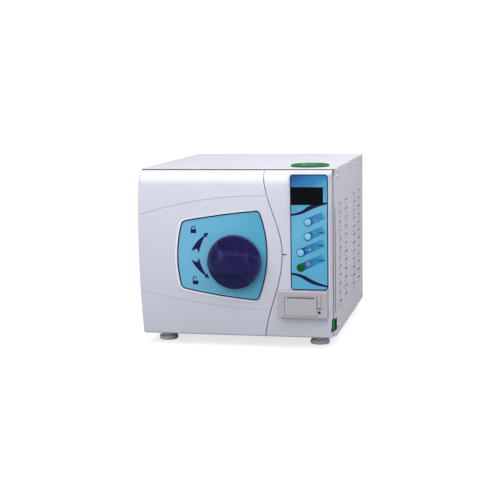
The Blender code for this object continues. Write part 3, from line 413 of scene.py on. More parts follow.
def ribbon(points, width):
    """Closed outline of one width along an open path."""
    left, right = [], []
    last = len(points) - 1
    for i, point in enumerate(points):
        ahead = Vector(points[min(i + 1, last)]) - Vector(points[max(i - 1, 0)])
        side = Vector((-ahead.y, ahead.x)).normalized() * (width / 2.0)
        left.append(tuple(Vector(point) + side))
        right.append(tuple(Vector(point) - side))
    return left + right[::-1]


def circle(centre, radius, sides):
    return [(centre[0] + radius * cos(2.0 * pi * i / sides),
             centre[1] + radius * sin(2.0 * pi * i / sides)) for i in range(sides)]


def grow_outline(points, amount):
    """Move a closed outline's points outwards along their normals."""
    count = len(points)
    area = sum(points[i][0] * points[(i + 1) % count][1] - points[(i + 1) % count][0] * points[i][1]
               for i in range(count))
    turn = 1.0 if area > 0 else -1.0
    grown = []
    for i, point in enumerate(points):
        ahead = (Vector(points[(i + 1) % count]) - Vector(points[i - 1])).normalized()
        grown.append(tuple(Vector(point) + Vector((ahead.y, -ahead.x)) * amount * turn))
    return grown


def front_y(z, inset=0.0):
    """The bulged face's y at height z, moved inwards by inset."""
    return FRONT_Y[0] + FRONT_RADIUS - sqrt((FRONT_RADIUS - inset) ** 2 - (z - CREST_Z) ** 2)


def on_plane(level):
    return lambda z, inset: level + inset


def plate(outline, levels, face, slice_step=None):
    """Solid between a list of (inset, grow) levels of an outline in (x, z), laid on face(z, inset).

    With slice_step the outline is first cut into strips so that it follows a bulged face.
    """
    flat = bmesh.new()
    flat.faces.new([flat.verts.new((x, 0.0, z)) for x, z in outline])
    if slice_step:
        low = min(z for _, z in outline)
        high = max(z for _, z in outline)
        count = int((high - low) / slice_step)
        for i in range(1, count + 1):
            height = low + (high - low) * i / (count + 1)
            bmesh.ops.bisect_plane(flat, geom=flat.verts[:] + flat.edges[:] + flat.faces[:],
                                   plane_co=(0, 0, height), plane_no=(0, 0, 1), dist=1e-5)
    bmesh.ops.triangulate(flat, faces=flat.faces[:])
    flat.verts.ensure_lookup_table()
    rim = [edge for edge in flat.edges if edge.is_boundary]
    loop = [rim[0].verts[0], rim[0].verts[1]]
    links = {}
    for edge in rim:
        for vert in edge.verts:
            links.setdefault(vert, []).append(edge.other_vert(vert))
    while True:
        following = [v for v in links[loop[-1]] if v is not loop[-2]][0]
        if following is loop[0]:
            break
        loop.append(following)
    ring = [(v.co.x, v.co.z) for v in loop]
    place = {v: i for i, v in enumerate(loop)}
    shape = bmesh.new()
    layers = []
    for number, (inset, grow) in enumerate(levels):
        points = grow_outline(ring, grow) if grow else ring
        layers.append([shape.verts.new((x, face(z, inset), z)) for x, z in points])
        if number in (0, len(levels) - 1):
            inner = {v: shape.verts.new((v.co.x, face(v.co.z, inset), v.co.z))
                     for v in flat.verts if v not in place}
            for cell in flat.faces:
                corners = [layers[-1][place[v]] if v in place else inner[v] for v in cell.verts]
                shape.faces.new(corners if number == 0 else corners[::-1])
    bridge(shape, layers)
    flat.free()
    return shape


def decal(name, outline, body, material, face, slice_step=None, lift=INK):
    """Thin printed or moulded mark that lies on a face."""
    shape = plate(outline, ((0.0, 0.0), (-lift, 0.0)), face, slice_step)
    return add(name, shape, material, body)


# ---------------------------------------------------------------- moulded front

def seam_x(z):
    """The curved seam between the door and the fascia."""
    upper = z > 193.0
    wave = 0.5 * (1.0 + cos(pi * (z - 193.0) / (185.0 if upper else 200.0)))
    return 66.0 + 44.0 * wave ** (1.0 if upper else 0.85)


def front_rows(inset, steps, arc):
    """(y, z) up the front's profile, moved in by inset; the top ellipse starts at the bulge's own slope."""
    low = FRONT_Z[0] + inset
    corner = low + BOTTOM_ROUND
    corner_y = front_y(corner, inset)
    rows = []
    for i in range(arc + 1):
        angle = 0.5 * pi * i / arc
        rows.append((corner_y + BOTTOM_ROUND * (1.0 - sin(angle)), corner - BOTTOM_ROUND * cos(angle)))
    for i in range(1, steps + 1):
        z = corner + (TOP_ROUND_Z - corner) * i / steps
        rows.append((front_y(z, inset), z))
    reach = TOP_ROUND_Y - front_y(TOP_ROUND_Z, inset)
    rise = FRONT_Z[1] - TOP_GAP - inset - TOP_ROUND_Z
    slope = (TOP_ROUND_Z - CREST_Z) / sqrt((FRONT_RADIUS - inset) ** 2 - (TOP_ROUND_Z - CREST_Z) ** 2)
    start = 0.0
    for _ in range(8):
        deep = reach / cos(start)
        tall = rise / (1.0 - sin(start))
        start = atan2(slope * tall, deep)
    for i in range(1, 2 * arc + 1):
        angle = start + (0.5 * pi - start) * i / (2 * arc)
        rows.append((TOP_ROUND_Y - deep * cos(angle), TOP_ROUND_Z + rise - tall * (1.0 - sin(angle))))
    return rows


def front_block(left, right, radii, inset=0.0, back=None, steps=70, arc=6):
    """Closed block behind the bulged face, between two edges that are functions of z.

    Its two front corners are rounded by radii, less where the face runs back at the top.
    """
    shape = bmesh.new()
    back = FRONT_Y[1] if back is None else back
    rows = []
    for y, z in front_rows(inset, steps, arc):
        room = max(0.05, (back - y) * 0.8)
        left_radius, right_radius = (min(radius, room) for radius in radii)
        points = [(left(z), back)]
        for i in range(arc + 1):
            angle = 0.5 * pi * i / arc
            points.append((left(z) + left_radius * (1.0 - cos(angle)),
                           y + left_radius * (1.0 - sin(angle))))
        for i in range(arc + 1):
            angle = 0.5 * pi * i / arc
            points.append((right(z) - right_radius * (1.0 - sin(angle)),
                           y + right_radius * (1.0 - cos(angle))))
        points.append((right(z), back))
        rows.append([shape.verts.new((x, depth, z)) for x, depth in points])
    bridge(shape, rows)
    shape.faces.new(rows[0])
    shape.faces.new(rows[-1][::-1])
    return shape


LABEL_EDGE = curve_points((-108.0, 267.0), ((-29.0, 281.5), (48.0, 288.5)), ((59.0, 289.5), (62.0, 279.0)),
                          ((94.5, 190.0), (57.0, 95.0)), ((54.0, 85.5), (45.0, 86.0)),
                          ((-33.0, 92.5), (-111.0, 109.0)), ((-124.0, 111.0), (-125.0, 122.0)),
                          ((-138.0, 188.0), (-121.0, 256.0)), ((-119.0, 265.0), (-108.0, 267.0)))[:-1]
GROOVE_UPPER = curve_points((-226.0, 275.5), ((-64.5, 325.5), (84.0, 321.0)), steps=40)
GROOVE_LOWER = curve_points((-226.0, 107.5), ((-77.0, 66.5), (88.0, 64.5)), steps=40)


def make_door():
    gap = SEAM_GAP / 2.0
    block = front_block(lambda z: -HALF_WIDTH, lambda z: seam_x(z) - gap, (7.0, 1.6))
    door = new_object("door_shell", block, MOULDING)
    combine(door, front_block(lambda z: WALL - HALF_WIDTH, lambda z: seam_x(z) - gap - WALL, (4.0, 0.5),
                              WALL, 10.0, 24, 3))
    rim = ((1.5, 6.1), (0.1, 5.6), (-0.5, 3.9), (-0.95, 2.4), (-1.1, 1.2))
    rim_edge = [(x - 2.6, z - 1.6) for x, z in LABEL_EDGE]
    combine(door, plate(rim_edge, rim, front_y, SLICE), 'UNION')
    recess = ((2.0, 0.4), (0.75, 0.6), (-0.6, 2.4), (-1.3, 3.9), (-6.0, 9.0))
    combine(door, plate(LABEL_EDGE, recess, front_y, SLICE))
    for path in (GROOVE_UPPER, GROOVE_LOWER):
        combine(door, plate(ribbon(path, 1.6), ((1.3, -0.3), (-3.0, 0.9)), front_y, SLICE))
    for low, high in HINGE_SLOTS:
        combine(door, box((-230.0, -216.0), (-33.0, 5.0), (low, high)))
    combine(door, box((-230.0, -216.0), (-5.5, 5.0), (-5.0, 385.0)))
    combine(door, rod(KNOB.x, KNOB.z, 9.5, (-70.0, -20.0), 40))
    piece(door, "door", ("door_cover",), crease=28.0)

    label = plate(LABEL_EDGE, ((1.7, 0.0), (0.9, 0.0), (0.7, -0.3)), front_y, SLICE)
    add("door_label", label, PLATE_BLUE, "door", ("door_label_plate",))
    ring = plate(LABEL_EDGE, ((0.70, -0.1), (0.52, -0.2)), front_y, SLICE)
    border = new_object("door_label_border", ring, NAVY)
    combine(border, plate(grow_outline(LABEL_EDGE, -2.6), ((3.0, 0.0), (-3.0, 0.0)), front_y, SLICE))
    piece(border, "door")
    # Thin raised crescent along the label's left and lower edge, coloured near white as a painted highlight.
    lip_edge = [(x - 2.0, z - 1.2) for x, z in LABEL_EDGE]
    raised = plate(lip_edge, ((1.0, 1.9), (-1.15, 1.9), (-1.3, 1.5)), front_y, SLICE)
    lip = new_object("label_lip", raised, LIP_PAINTED_HIGHLIGHT)
    combine(lip, plate(LABEL_EDGE, ((3.0, 0.65), (-3.0, 0.65)), front_y, SLICE))
    piece(lip, "door")


def on_label(z, inset):
    return front_y(z, LABEL_DEPTH + inset)


def make_door_marks():
    """Two curved arrows beside the knob, with a shut and an open padlock instead of words."""
    for name, turn in (("arrow_close", 1.0), ("arrow_open", -1.0)):
        outline = curve_points((-97.6, 197.1), ((-88.0, 219.0), (-66.4, 233.2)), steps=8)
        outline += [(-69.7, 236.8), (-57.0, 239.4), (-62.4, 227.6), (-65.2, 230.4)]
        outline += curve_points((-65.2, 230.4), ((-75.0, 215.0), (-80.2, 192.7)), steps=8)[1:]
        outline += [(-84.4, 202.6)]
        if turn < 0:
            mid = 2.0 * 187.2
            outline = [(x, mid - z) for x, z in outline]
        decal(name, outline, "door", NAVY, on_label, SLICE)
    for name, x, z, tilt in (("padlock_shut", -92.0, 243.0, 0.0), ("padlock_open", -90.0, 126.0, 0.9)):
        body = rectangle((x - 6.5, x + 6.5), (z - 5.5, z + 3.5))
        decal(name + "_body", body, "door", NAVY, on_label, SLICE)
        hinge = Vector((x - 4.0, z + 3.5))
        arch = [Vector((x - 4.0, z + 3.6))] + [Vector((x - 4.0 * cos(a), z + 6.0 + 4.0 * sin(a)))
                                              for a in [pi * i / 10 for i in range(11)]]
        arch.append(Vector((x + 4.0, z + 3.6)))
        if tilt:
            turn = Matrix.Rotation(tilt * 0.5, 2)
            arch = [hinge + turn @ (point - hinge) + Vector((0.0, 0.6)) for point in arch]
        shackle = ribbon([tuple(point) for point in arch], 1.9)
        decal(name + "_shackle", shackle, "door", NAVY, on_label, SLICE)


# ---------------------------------------------------------------- lock knob

KNOB_SIDE = -60.0                       # y where the knob's side wall ends and its dome begins
SCOOP_LEVEL = 22.0
SCOOP_FLAT = (-6.0, 36.0)               # where the scoop's edge runs level, across the knob
SCOOP_BLEND = 2.2
RIM_START = 0.955                       # share of the radius where the knob's front turns over its rim


def knob_edge(u):
    """Height of the upper finger scoop's lower edge above the knob's middle, at u to the right."""
    if u < SCOOP_FLAT[0]:
        share = min(1.0, (SCOOP_FLAT[0] - u) / 31.0)
        return SCOOP_LEVEL + 26.0 * share ** 2.2
    if u < SCOOP_FLAT[1]:
        return SCOOP_LEVEL
    share = min(1.0, (u - SCOOP_FLAT[1]) / 18.0)
    return SCOOP_LEVEL - 10.0 * share ** 1.5


def knob_face(u, v):
    """The knob's front y at (u, v) from its middle: a dome with two finger scoops, 180 degrees apart."""
    share = min(1.0, hypot(u, v) / KNOB_R)
    dome = KNOB_SIDE + (KNOB_FRONT - KNOB_SIDE) * (1.0 - share ** 2.4) ** 0.62
    floor = -59.0 - 3.0 * (1.0 - share)
    inside = max(v - knob_edge(u), -v - knob_edge(-u))
    blend = min(1.0, max(0.0, inside / SCOOP_BLEND))
    blend = blend * blend * (3.0 - 2.0 * blend)
    rim = max(0.0, (share - RIM_START) / (1.0 - RIM_START))
    return dome + (max(dome, floor) - dome) * blend + 1.9 * rim * rim


def make_knob():
    shape = bmesh.new()
    sides = 180
    back_y = KNOB_BACK
    radii = [KNOB_R * (1.0 - (1.0 - i / 44.0) ** 1.25) for i in range(1, 45)]
    rings = [[shape.verts.new((KNOB.x, knob_face(0.0, 0.0), KNOB.z))] * sides]
    for radius in radii:
        rings.append([shape.verts.new((KNOB.x + u, knob_face(u, v), KNOB.z + v))
                      for u, v in circle((0.0, 0.0), radius, sides)])
    for radius, y in ((KNOB_R, -56.6), (KNOB_R, -53.0), (KNOB_R - 0.4, -50.6), (KNOB_R - 1.6, back_y - 0.4),
                      (KNOB_R - 4.0, back_y), (9.0, back_y), (9.0, -66.0)):
        rings.append([shape.verts.new((x, y, z)) for x, z in circle((KNOB.x, KNOB.z), radius, sides)])
    rings.append([shape.verts.new((KNOB.x, -66.0, KNOB.z))] * sides)
    bridge(shape, rings)
    knob = new_object("lock_knob_skin", shape, KNOB_SKIN)
    piece(knob, "lock_knob", ("lock_knob",), crease=40.0)


# ---------------------------------------------------------------- control fascia

def make_fascia():
    gap = SEAM_GAP / 2.0
    wall = 2.2
    block = front_block(lambda z: seam_x(z) + gap, lambda z: FRONT_RIGHT, (1.6, 9.5))
    fascia = new_object("fascia_shell", block, MOULDING)
    combine(fascia, front_block(lambda z: seam_x(z) + gap + wall, lambda z: FRONT_RIGHT - wall, (0.5, 7.0),
                                wall, 10.0, 24, 3))
    overlay_x, _, overlay_z = cad("overlay_panel")
    pad = rounded_outline((overlay_x[0] - 3.2, FRONT_RIGHT + 0.1), wider(overlay_z, 3.2), 7.0)
    steps = ((0.0, -2.6), (0.7, -1.2), (2.2, -0.3), (4.0, 0.0), (34.0, 0.0))
    combine(fascia, plate(pad, steps, on_plane(FRONT_Y[0])), 'UNION')
    combine(fascia, box(wider(overlay_x, -2.0), (-42.0, 5.0), wider(overlay_z, -2.0)))
    display_x, _, display_z = cad("display_window")
    combine(fascia, box(wider(display_x, -1.0), THROUGH, wider(display_z, -1.0)))
    for number in BUTTON_NUMBERS:
        key = middle(f"button_{number}")
        combine(fascia, rod(key.x, key.z, 9.5, THROUGH))
    printer_x, _, printer_z = cad("printer_bezel")
    combine(fascia, box(wider(printer_x, 0.4), (-70.0, 5.0), wider(printer_z, 0.4)))
    _, switch_y, switch_z = cad("switch_bezel")
    combine(fascia, box((SWITCH_FRONT_X - 0.3, 230.0), (switch_y[0] - 0.3, 5.0), wider(switch_z, 0.3)))
    piece(fascia, "cabinet", ("control_fascia",), crease=28.0)


def rounded_outline(x, z, radius, steps=6):
    corners = ((x[1], z[0], -90), (x[1], z[1], 0), (x[0], z[1], 90), (x[0], z[0], 180))
    outline = []
    for corner_x, corner_z, start in corners:
        mid_x = corner_x + (radius if corner_x == x[0] else -radius)
        mid_z = corner_z + (radius if corner_z == z[0] else -radius)
        for i in range(steps + 1):
            angle = radians(start + 90.0 * i / steps)
            outline.append((mid_x + radius * cos(angle), mid_z + radius * sin(angle)))
    return outline


def make_gap_shade_strip():
    """Black strip behind the gaps between the moulded front and the sheet metal: painted shade that makes the
    gaps dark.
    """
    top = COVER_Z[1] - 2.7
    strip = box((-HALF_WIDTH + 4.0, FRONT_RIGHT + 0.9), (-0.7, 1.4), (FRONT_Z[1] - 3.0, top))
    add_shape(strip, box((FRONT_RIGHT - 1.0, FRONT_RIGHT + 0.9), (-0.7, 1.4), (46.0, FRONT_Z[1] - 3.0)))
    add("gap_shade_strip", strip, BLACK, "cabinet")


def on_moulding(z, inset):
    return front_y(z) + inset


def make_catch_mark():
    """Small catch beside the door's seam: a dark stud and the grey end of its tab."""
    stud = plate(circle((113.3, 192.6), 1.7, 16), ((0.4, 0.0), (-0.7, 0.0), (-1.0, -0.3)), on_moulding)
    add("catch_stud", stud, BLACK, "cabinet")
    outline = rounded_outline((114.9, 120.4), (191.2, 193.9), 0.8)
    tab = plate(outline, ((0.4, 0.0), (-0.3, 0.0), (-0.5, -0.2)), on_moulding)
    add("catch_tab", tab, CATCH_GREY, "cabinet")


def display_box():
    """The display's ranges; its glass runs a little lower than the plain CAD window."""
    x, y, z = cad("display_window")
    return x, y, (z[0] - 1.6, z[1])


def cut_for_controls(obj):
    """Openings for the display and the four keys."""
    display_x, _, display_z = display_box()
    combine(obj, box(wider(display_x, 0.2), THROUGH, wider(display_z, 0.2)))
    for number in BUTTON_NUMBERS:
        key = middle(f"button_{number}")
        combine(obj, rod(key.x, key.z, 9.3, THROUGH, 48))


def make_overlay():
    x, y, z = cad("overlay_panel")
    edge = rounded_outline(x, z, 8.0)
    level = on_plane(y[0])
    sheet = plate(edge, ((y[1] - y[0], 0.0), (0.2, 0.0), (0.0, -0.2)), level)
    film = new_object("overlay_film", sheet, OVERLAY_BLUE)
    cut_for_controls(film)
    piece(film, "cabinet", ("overlay_panel",))
    border = new_object("overlay_border", plate(edge, ((0.05, 0.0), (-INK, 0.0)), level), NAVY)
    combine(border, plate(rounded_outline(wider(x, -2.2), wider(z, -2.2), 6.4),
                          ((2.0, 0.0), (-2.0, 0.0)), level))
    piece(border, "cabinet")


def on_overlay(lift):
    """Face of the print that stands lift above the overlay's film."""
    return on_plane(cad("overlay_panel")[1][0] - lift)


def make_swooshes():
    """Navy waves above and below the keys, cut where the display and keys come through."""
    x, _, _ = cad("overlay_panel")
    ends = wider(x, -0.9)
    swooshes = {
        "swoosh_upper": (curve_points((ends[0], 278.6), ((150.0, 280.0), (166.0, 287.9)),
                                      ((187.0, 299.2), (ends[1], 305.5))),
                         curve_points((ends[0], 283.1), ((152.0, 285.6), (165.0, 297.0)),
                                      ((180.0, 307.4), (ends[1], 309.4)))),
        "swoosh_lower": (curve_points((ends[0], 147.9), ((149.0, 145.4), (164.0, 134.8)),
                                      ((182.0, 123.4), (ends[1], 121.2))),
                         curve_points((ends[0], 152.3), ((148.0, 152.0), (165.0, 144.2)),
                                      ((187.0, 130.4), (ends[1], 124.8)))),
    }
    for name, (under, over) in swooshes.items():
        wave = plate(under + over[::-1], ((0.0, 0.0), (-INK, 0.0)), on_overlay(FIRST_PRINT))
        stripe = new_object(name, wave, NAVY)
        cut_for_controls(stripe)
        piece(stripe, "cabinet")


def make_bands():
    """Slanted blue band that runs from each key to the overlay's right edge."""
    slope = radians(24.0)
    along, across = Vector((cos(slope), sin(slope))), Vector((-sin(slope), cos(slope)))
    for number in BUTTON_NUMBERS:
        key = middle(f"button_{number}")
        centre = Vector((key.x, key.z))
        reach = (BAND_END_X - centre.x) / cos(slope)
        half = BAND_WIDTH / 2.0
        corners = [centre - across * half, centre + along * reach - across * half,
                   centre + along * reach + across * half, centre + across * half]
        outline = [tuple(corner) for corner in corners]
        strip = plate(outline, ((0.0, 0.0), (-THIN_INK, 0.0)), on_overlay(FIRST_PRINT))
        band = new_object(f"band_{number}", strip, BAND_BLUE)
        cut_for_controls(band)
        piece(band, "cabinet")


def make_icons():
    """Diamonds, dashes and an arrow on the bands."""
    icon_face = on_overlay(SECOND_PRINT)
    top_face = on_overlay(THIRD_PRINT)
    diamonds = ((183.8, 269.3, 2.5, 3.5, MARK_DARK), (197.6, 274.8, 1.8, 0.0, MARK_DARK),
                (183.1, 242.2, 2.4, 3.3, MARK_DARK), (168.1, 172.2, 3.9, 4.9, MARK_RED))
    for number, (at_x, at_z, size, edge_size, finish) in enumerate(diamonds, start=1):
        if edge_size:
            edge = circle((at_x, at_z), edge_size, 4)
            decal(f"diamond_{number}_edge", edge, "cabinet", KEY_RING, icon_face, lift=THIN_INK)
        decal(f"diamond_{number}", circle((at_x, at_z), size, 4), "cabinet", finish, top_face, lift=THIN_INK)
    dashes = ((197.8, 242.6, 5.0), (196.4, 214.0, 6.4), (196.4, 181.0, 8.4))
    for number, (at_x, at_z, half) in enumerate(dashes, start=1):
        outline = rectangle((at_x - half, at_x + half), (at_z - 1.0, at_z + 1.0))
        decal(f"dash_{number}", outline, "cabinet", NAVY, icon_face)
    for name, path in (("arrow_shaft", ((163.0, 204.2), (175.4, 204.7))),
                       ("arrow_head", ((169.4, 209.6), (175.8, 204.7), (169.8, 199.6)))):
        decal(name, ribbon(path, 1.4), "cabinet", KEY_PALE, icon_face)


def make_display():
    """The display's glass and two fine printed lines beside it."""
    display_x, display_y, display_z = display_box()
    for offset in (3.2, 5.6):
        line_x = display_x[1] + offset
        outline = rectangle((line_x - 0.25, line_x + 0.25), (display_z[0] + 2.0, display_z[1] + 1.0))
        decal(f"display_line_{offset:.0f}", outline, "cabinet", BAND_BLUE, on_overlay(FIRST_PRINT))
    glass = rounded_box(display_x, (display_y[0], display_y[1] - 0.5), display_z, 0.35, 2)
    add("display_glass", glass, DISPLAY, "cabinet", ("display_window",))


def make_buttons():
    for number in BUTTON_NUMBERS:
        node = f"button_{number}"
        key = middle(node)
        front = {"axis": (0, 1, 0), "centre": (key.x, 0.0, key.z)}
        crown = soft_profile([(0.0, -49.5), (6.6, -49.3), (7.4, -48.6), (8.9, -48.0), (8.9, -42.6),
                              (10.6, -42.6), (10.6, -41.2), (3.0, -41.2), (3.0, -35.6), (0.0, -35.6)], 0.8)
        finish = KEY_GREEN if number == 4 else KEY_BLUE
        add(f"key_{number}", lathe(crown, 48, **front), finish, node, (node,))
        if number == 4:
            continue
        dome = soft_profile([(0.0, -50.2), (5.0, -50.1), (7.0, -49.4), (7.0, -48.9), (0.0, -48.9)], 1.2)
        add(f"key_{number}_cap", lathe(dome, 40, **front), KEY_PALE, node)
        halo = soft_profile([(6.2, -49.75), (7.3, -49.25), (7.5, -48.7), (6.2, -48.7)], 0.2)
        add(f"key_{number}_halo", lathe(halo, 40, ring=True, **front), KEY_PALE, node)


# ---------------------------------------------------------------- printer

def make_printer():
    x, y, z = cad("printer_bezel")
    housing = box(x, y, z)
    front_top = [edge for edge in housing.edges
                 if all(v.co.y < y[0] + 1.0 and v.co.z > z[1] - 1.0 for v in edge.verts)]
    soften(housing, front_top, 3.3, 6)
    corners = [e for e in housing.edges if e.is_manifold and e.calc_face_angle() > radians(60.0)]
    soften(housing, corners, 1.2, 3)
    bezel = new_object("printer_housing", housing, PRINTER_SKIN)
    combine(bezel, box(wider(x, -2.5), (-46.3, -11.0), wider(z, -2.5)))
    door_x, door_y, door_z = cad("printer_door")
    combine(bezel, box(wider(door_x, 0.6), PRINTER_CUT, (door_z[0] - 0.6, door_z[1] + 0.7)))
    latch_x, latch_y, latch_z = cad("printer_latch")
    combine(bezel, box(wider(latch_x, 0.5), PRINTER_CUT, wider(latch_z, 0.6)))
    pocket_floor = latch_y[1] + 0.4
    backing = box(wider(latch_x, 1.4), (-46.6, pocket_floor + 1.0), (68.5, latch_z[0] - 0.3))
    combine(bezel, backing, 'UNION')
    combine(bezel, box(wider(latch_x, 0.5), (-60.0, pocket_floor), (69.4, latch_z[0])))
    feed = middle("printer_feed_key")
    combine(bezel, rod(feed.x, feed.z, 3.2, PRINTER_CUT, 32))
    mid_z = (z[0] + z[1]) / 2.0 - 1.0
    for at_x in (x[0] + 6.5, x[1] - 7.0):
        ring = lathe(((3.2, -52.0), (3.7, -52.0), (3.7, y[0] + 0.4), (3.2, y[0] + 0.4)), 32, (0, 1, 0),
                     (at_x, 0, mid_z), ring=True)
        combine(bezel, ring)
    piece(bezel, "cabinet", ("printer_bezel",))

    door = new_object("paper_door", rounded_box(door_x, door_y, door_z, 0.7, 3), PRINTER_SKIN)
    combine(door, box(wider(door_x, -5.0), PRINTER_CUT, (94.9, 97.1)))
    combine(door, box(wider(door_x, -4.0), (-60.0, door_y[0] + 0.5), (93.6, 98.2)))
    piece(door, "printer_door", ("printer_door",))

    slider = new_object("paper_slider", rounded_box(latch_x, latch_y, latch_z, 0.8, 3), PRINTER_SKIN)
    for row in range(5):
        rib = latch_z[0] + 5.0 + 3.0 * row
        combine(slider, box(wider(latch_x, -1.2), (-52.0, latch_y[0] + 0.5), (rib, rib + 1.3)))
    piece(slider, "printer_latch", ("printer_latch",))

    cap = soft_profile([(0.0, -49.9), (3.0, -49.9), (3.0, -45.8), (4.2, -45.8), (4.2, -44.8),
                        (0.0, -44.8)], 0.6)
    feed_key = new_object("feed_key", lathe(cap, 32, (0, 1, 0), (feed.x, 0, feed.z)), BLACK)
    piece(feed_key, "printer_feed_key", ("printer_feed_key",))

    roll = middle("paper_roll")
    turned = []
    for i in range(10):
        radius = 15.0 - 0.9 * i
        turned += [(radius, 29.0 - 0.05 * i), (radius - 0.45, 28.7 - 0.05 * i)]
    profile = [(6.0, -29.0), (15.0, -29.0)] + turned + [(6.0, 28.6)]
    paper = lathe(profile, 40, (1, 0, 0), (roll.x, roll.y, roll.z), ring=True)
    add("paper_spool", paper, PAPER, "cabinet", ("paper_roll",), crease=20.0)


# ---------------------------------------------------------------- sheet-metal cabinet

LOUVRE_Y = (72.0, 170.0, 318.0, 412.0)
LOUVRE_HALF = 30.0
LOUVRE_ROWS = 12
LOUVRE_TOP = 294.0
LOUVRE_PITCH = 20.4
LOUVRE_DROP = 14.5
LOUVRE_PROUD = 3.8


def hood(u, v):
    """Height of a louvre's bulge: u along it from -1 to 1, v down from its slit from 0 to 1."""
    dome = max(0.0, 1.0 - u * u)
    fall = cos(0.5 * pi * min(1.0, v / max(0.08, dome ** 0.5))) if v < dome ** 0.5 else 0.0
    return LOUVRE_PROUD * dome ** 0.55 * fall ** 1.1


def make_side(name, node, side):
    """Side sheet with pressed louvres, open along their upper edges, and a folded front edge."""
    across, down = 14, 7
    _, switch_y, switch_z = cad("switch_bezel")
    notch_y = switch_y[1] + 0.3
    notch_z = wider(switch_z, 0.3)
    spans_y = [(0.0, None), (2.5, None), (notch_y, None)]
    for centre in LOUVRE_Y:
        for i in range(across + 1):
            u = -1.0 + 2.0 * i / across
            spans_y.append((centre + u * LOUVRE_HALF, u))
    spans_y.append((DEPTH, None))
    spans_z = [(0.0, None, None), (notch_z[0], None, None), (notch_z[1], None, None)]
    for row in reversed(range(LOUVRE_ROWS)):
        top = LOUVRE_TOP - row * LOUVRE_PITCH
        for j in range(down + 1):
            v = 1.0 - j / down
            spans_z.append((top - v * LOUVRE_DROP, row, v))
    panel_top = FLANGE_Z - 0.3
    spans_z.append((panel_top, None, None))
    shape = bmesh.new()
    outer = side * HALF_WIDTH
    flat, raised = {}, {}
    for i, (y, u) in enumerate(spans_y):
        for j, (z, row, v) in enumerate(spans_z):
            height = hood(u, v) if u is not None and row is not None else 0.0
            if v == 0.0 and height > 0.0:
                raised[i, j] = shape.verts.new((outer + side * height, y, z))
                height = 0.0
            flat[i, j] = shape.verts.new((outer + side * height, y, z))

    def in_notch(i, j):
        return side > 0 and spans_y[i][0] < notch_y and spans_z[j][0] == notch_z[0]

    for i in range(len(spans_y) - 1):
        for j in range(len(spans_z) - 1):
            if in_notch(i, j):
                continue
            upper = [raised.get((k, j + 1), flat[k, j + 1]) for k in (i + 1, i)]
            if spans_z[j + 1][2] != 0.0 or spans_z[j][1] != spans_z[j + 1][1]:
                upper = [flat[i + 1, j + 1], flat[i, j + 1]]
            shape.faces.new([flat[i, j], flat[i + 1, j], *upper])
    fold = [flat[0, j] for j in range(len(spans_z))]
    lip = [shape.verts.new((outer - side * 4.5, 0.0, vert.co.z)) for vert in fold]
    for j in range(len(fold) - 1):
        if not in_notch(0, j):
            shape.faces.new([fold[j], fold[j + 1], lip[j + 1], lip[j]])
    edges = [e for e in shape.edges if e.verts[0] in fold and e.verts[1] in fold]
    soften(shape, edges, 1.4, 4)
    bmesh.ops.dissolve_limit(shape, angle_limit=radians(0.2), verts=shape.verts, edges=shape.edges)
    panel = new_object(name, shape, PAINT, (side, 0, 0))
    thicken(panel, SHEET - 0.1)
    piece(panel, "cabinet", (node,), crease=35.0)


def make_top():
    """Top cover: one bent sheet with side flanges, a folded front lip and the filler hole."""
    bend = 2.4
    arc = 5
    section = [(-HALF_WIDTH, FLANGE_Z)]
    for corner, start in ((-1.0, 180.0), (1.0, 90.0)):
        for i in range(arc + 1):
            angle = radians(start - 90.0 * i / arc)
            section.append((corner * (HALF_WIDTH - bend) + bend * cos(angle),
                            TOP_Z - bend + bend * sin(angle)))
    section.append((HALF_WIDTH, FLANGE_Z))
    shape = bmesh.new()
    rows = [[shape.verts.new((x, y, z)) for x, z in section] for y in (0.0, DEPTH * 0.5, DEPTH)]
    for low, high in zip(rows, rows[1:]):
        for i in range(len(section) - 1):
            shape.faces.new((low[i], low[i + 1], high[i + 1], high[i]))
    edge = [v for v in rows[0] if v.co.z > TOP_Z - 0.01]
    lip = [shape.verts.new((v.co.x, 0.0, TOP_Z - 2.5)) for v in edge]
    for i in range(len(edge) - 1):
        shape.faces.new((edge[i], lip[i], lip[i + 1], edge[i + 1]))
    fold = [e for e in shape.edges if e.verts[0] in edge and e.verts[1] in edge]
    soften(shape, fold, 1.2, 4)
    cover = new_object("top_sheet", shape, PAINT, (0, 0, 1))
    thicken(cover, SHEET - 0.1)
    settle(cover)
    filler = middle("filler_cap")
    hole = ((0.0, 370.0), (38.2, 370.0), (38.2, 390.0), (0.0, 390.0))
    combine(cover, lathe(hole, 64, centre=(filler.x, filler.y, 0.0)))
    piece(cover, "cabinet", ("top_cover",))


def screw_shape():
    """Pan-head screw about +Z, seated at z = 0, with a cross recess."""
    head = [(0.0, 2.1), (1.6, 2.05), (3.0, 1.6), (3.8, 0.8), (4.0, 0.0), (4.0, -0.4), (0.0, -0.4)]
    screw = new_object("screw_master", lathe(head, 20), SCREW)
    for turn in (0.0, pi / 2.0):
        slot = box((-2.3, 2.3), (-0.45, 0.45), (0.9, 4.0))
        bmesh.ops.rotate(slot, cent=(0, 0, 0), matrix=Matrix.Rotation(turn, 3, 'Z'), verts=slot.verts)
        combine(screw, slot)
    shape = bmesh.new()
    shape.from_mesh(screw.data)
    for vert in shape.verts:
        vert.co = (vert.co - SHIFT) / MM
    bpy.data.objects.remove(screw)
    return shape


def make_screws(name, master, places, outward):
    """One piece that holds a group of like screws, each turned a little differently."""
    group = bmesh.new()
    turn = Vector((0, 0, 1)).rotation_difference(Vector(outward)).to_matrix().to_4x4()
    for number, place in enumerate(places):
        copy = master.copy()
        matrix = Matrix.Translation(Vector(place)) @ turn @ Matrix.Rotation(0.7 * number, 4, 'Z')
        bmesh.ops.transform(copy, matrix=matrix, verts=copy.verts)
        add_shape(group, copy)
    add(name, group, SCREW, "cabinet")


